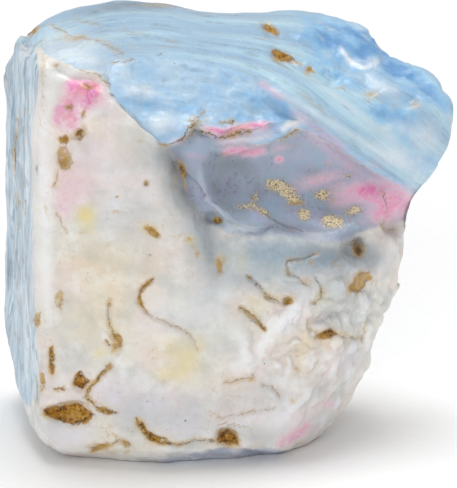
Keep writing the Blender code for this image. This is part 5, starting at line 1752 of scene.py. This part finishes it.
class OpalColours(PropertyGroup):
    cream: colour_prop("Cream", "The front's main colour", (234, 231, 222))
    rosy_cream: colour_prop("Rosy cream", "Clouds in the front", (236, 223, 217))
    warm_cream: colour_prop("Warm cream", "Sandy patches in the front", (232, 214, 182))
    # White: chalky veils, and painted highlights on crests and rims.
    white_and_highlight: colour_prop("White", "Chalky veils and crests", (248, 250, 252))
    # Grey: clear patches, and painted shade in creases and beside the hollow.
    grey: colour_prop("Grey", "Clear patches in the front", (196, 200, 200))
    ice: colour_prop("Ice", "The palest bands of the top", (202, 222, 234))
    pale_blue: colour_prop("Pale blue", "Bands of the top", (170, 202, 226))
    teal: colour_prop("Teal", "Greenish bands of the top", (182, 216, 232))
    blue: colour_prop("Blue", "Bands of the top", (156, 190, 216))
    mid_blue: colour_prop("Mid blue", "Mottling at the upper right", (146, 196, 234))
    deep_blue: colour_prop("Deep blue", "Patches at the upper right", (100, 156, 210))
    facet_blue: colour_prop("Facet blue", "The smooth break below the bands", (168, 206, 238))
    slate: colour_prop("Slate", "Dark threads", (128, 146, 160))
    lavender: colour_prop("Lavender", "Cool milky patches in the front", (226, 222, 236))
    sand: colour_prop("Sand", "Faint blots in the front", (214, 196, 166))
    side_dark: colour_prop("Side dark", "Dark fibres of the left face", (130, 156, 176))
    tan: colour_prop("Tan", "Brownish threads", (176, 156, 122))
    side_blue: colour_prop("Side blue", "Fibres of the left face", (168, 192, 212))
    side_pale: colour_prop("Side pale", "Pale fibres of the left face", (210, 228, 238))
    hollow_blue: colour_prop("Hollow blue", "The scooped hollow", (166, 182, 200))
    hollow_grey: colour_prop("Hollow grey", "Clear patches in the hollow", (146, 160, 168))
    lilac: colour_prop("Lilac", "Clouds in the hollow", (176, 182, 206))
    # Blue-grey painted shade below the hollow.
    shade_below_hollow_blue: colour_prop("Under blue", "The band below the hollow", (150, 172, 188))
    lip_blue: colour_prop("Lip blue", "The clear lip at the foot", (164, 174, 196))
    lip_pale: colour_prop("Lip pale", "Clouds in the lip", (196, 202, 214))
    # Smoke: dark clear patches, and painted shade in the hollow and under ledges.
    smoke: colour_prop("Smoke", "Dark clear patches", (108, 112, 122))
    pale_pink: colour_prop("Pale pink", "Thin pink stain", (236, 196, 212))
    pink: colour_prop("Pink", "Strong pink stain", (234, 116, 180))
    salmon: colour_prop("Salmon", "Warm parts of the strong pink", (234, 138, 150))
    yellow: colour_prop("Yellow", "Yellow stain", (238, 218, 130))
    ochre: colour_prop("Ochre", "Edge of the rusty stain", (208, 170, 90))
    rust: colour_prop("Rust", "Core of the rusty stain", (166, 108, 22))
    honey: colour_prop("Honey", "Lighter floors of the rusty chips", (190, 142, 52))
    umber: colour_prop("Umber", "Cracks and the darkest rust", (84, 56, 22))
    gold: colour_prop("Gold", "Sandy grains in the hollow", (246, 226, 178))
    dark: colour_prop("Dark", "Pits and specks", (66, 62, 58))


class StageSettings(PropertyGroup):
    floor_side: number_prop("Floor side", "Length of the floor's sides", 4.0, "LENGTH")
    floor_colour: colour_prop("Floor", "The pale floor", (255, 255, 255))
    sky: number_prop("Sky", "Strength of the even light all round", 0.48)
    overhead: number_prop("Overhead", "Strength of the wide light above", 1.73)
    key: number_prop("Key", "Strength of the light in front", 0.6)


def fit_to_box(points, sizes):
    """Turns the carved points, in millimetres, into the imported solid's size and place."""
    low, high = points.min(axis=0), points.max(axis=0)
    middle = np.array([0.5 * (low[0] + high[0]), 0.5 * (low[1] + high[1]), low[2]])
    stretch = np.array([sizes.width, sizes.depth, sizes.height]) / (high - low)
    return lambda rows: (rows - middle) * stretch


class OPAL_OT_stone(Operator):
    """Carve, crack and colour the stone"""

    bl_idname = "opal.stone"
    bl_label = "Stone"

    def execute(self, context):
        sizes = context.scene.opal_sizes
        cuts = sizes.skin_cuts
        skin = block_skin(cuts)
        skin.round_off(ROUNDING_PASSES)
        carve(skin)
        fitted = fit_to_box(skin.points, sizes)
        skin.lift(fine_relief(skin, read_colours(skin)))
        skin.stand()
        fields = read_colours(skin)
        mesh = bpy.data.meshes.new("opal_skin")
        mesh.from_pydata(fitted(skin.points).tolist(), [], skin.faces.tolist())
        for name, parts in FIELDS.items():
            rows = np.stack([fields[part] for part in parts], axis=1)
            layer = mesh.attributes.new(name, "FLOAT_VECTOR", "POINT")
            layer.data.foreach_set("vector", rows.astype(np.float32).ravel())
        mesh.shade_smooth()
        mesh.materials.append(OpalRecipe(context.scene.opal_colours).stone())
        mesh.validate()
        stone = bpy.data.objects.new("opal_stone", mesh)
        context.scene.collection.objects.link(stone)
        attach(stone, "root")
        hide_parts("blue_opal")
        return {"FINISHED"}


class OPAL_OT_stage(Operator):
    """Lay the pale floor, hang the soft lights and set the camera"""

    bl_idname = "opal.stage"
    bl_label = "Stage"

    def execute(self, context):
        stage = context.scene.opal_stage
        self.lay_floor(context, stage)
        self.hang_lights(context, stage)
        self.set_camera(context)
        return {"FINISHED"}

    def lay_floor(self, context, stage):
        half = 0.5 * stage.floor_side
        corners = [(-half, -half, 0.0), (half, -half, 0.0), (half, half, 0.0), (-half, half, 0.0)]
        mesh = bpy.data.meshes.new("floor")
        mesh.from_pydata(corners, [], [(0, 1, 2, 3)])
        mesh.materials.append(floor_material(stage.floor_colour))
        floor = bpy.data.objects.new("floor", mesh)
        floor.location.z = -FLOOR_GAP
        context.scene.collection.objects.link(floor)

    def hang_lights(self, context, stage):
        world = bpy.data.worlds.new("even_light")
        world.use_nodes = True
        background = world.node_tree.nodes["Background"]
        background.inputs["Color"].default_value = (1.0, 1.0, 1.0, 1.0)
        background.inputs["Strength"].default_value = stage.sky
        context.scene.world = world
        for name, towards, width, strength in (
            ("overhead", OVERHEAD_FROM, OVERHEAD_SPREAD, stage.overhead),
            ("key", KEY_FROM, KEY_SPREAD, stage.key),
        ):
            light = bpy.data.lights.new(name, "SUN")
            light.energy = strength
            light.angle = width
            lamp = bpy.data.objects.new(name, light)
            lamp.location = towards
            lamp.rotation_euler = Vector(towards).to_track_quat("Z", "Y").to_euler()
            context.scene.collection.objects.link(lamp)

    def set_camera(self, context):
        lens = bpy.data.cameras.new("camera")
        lens.sensor_width = SENSOR
        lens.sensor_fit = "AUTO"
        lens.lens = SENSOR * VIEW_DISTANCE * PER_MM / PICTURE_TALL * VIEW_ZOOM
        lens.clip_start, lens.clip_end = CLIPPING
        camera = bpy.data.objects.new("camera", lens)
        _, _, forward = standpoint(0.0)
        way = Vector(forward)
        camera.location = Vector(LOOK_AT) - way * VIEW_DISTANCE * MM
        camera.rotation_euler = way.to_track_quat("-Z", "Y").to_euler()
        context.scene.collection.objects.link(camera)
        context.scene.camera = camera
        context.scene.view_settings.view_transform = "Standard"
        context.scene.view_settings.look = "None"


class OPAL_PT_sidebar(Panel):
    """Sizes, colours and the steps that make the opal"""

    bl_idname = "OPAL_PT_sidebar"
    bl_label = "Rough Blue Opal"
    bl_space_type = "VIEW_3D"
    bl_region_type = "UI"
    bl_category = "Opal"

    def draw(self, context):
        scene = context.scene
        for group in (scene.opal_sizes, scene.opal_colours, scene.opal_stage):
            box = self.layout.box()
            for name in group.__annotations__:
                box.prop(group, name)
        for step in (OPAL_OT_stone, OPAL_OT_stage):
            self.layout.operator(step.bl_idname)


CLASSES = (OpalSizes, OpalColours, StageSettings, OPAL_OT_stone, OPAL_OT_stage, OPAL_PT_sidebar)


def register():
    for kind in CLASSES:
        bpy.utils.register_class(kind)
    bpy.types.Scene.opal_sizes = PointerProperty(type=OpalSizes)
    bpy.types.Scene.opal_colours = PointerProperty(type=OpalColours)
    bpy.types.Scene.opal_stage = PointerProperty(type=StageSettings)


def unregister():
    del bpy.types.Scene.opal_stage
    del bpy.types.Scene.opal_colours
    del bpy.types.Scene.opal_sizes
    for kind in reversed(CLASSES):
        bpy.utils.unregister_class(kind)


def main():
    register()
    bpy.ops.opal.stone()
    bpy.ops.opal.stage()


if __name__ == "__main__":
    main()
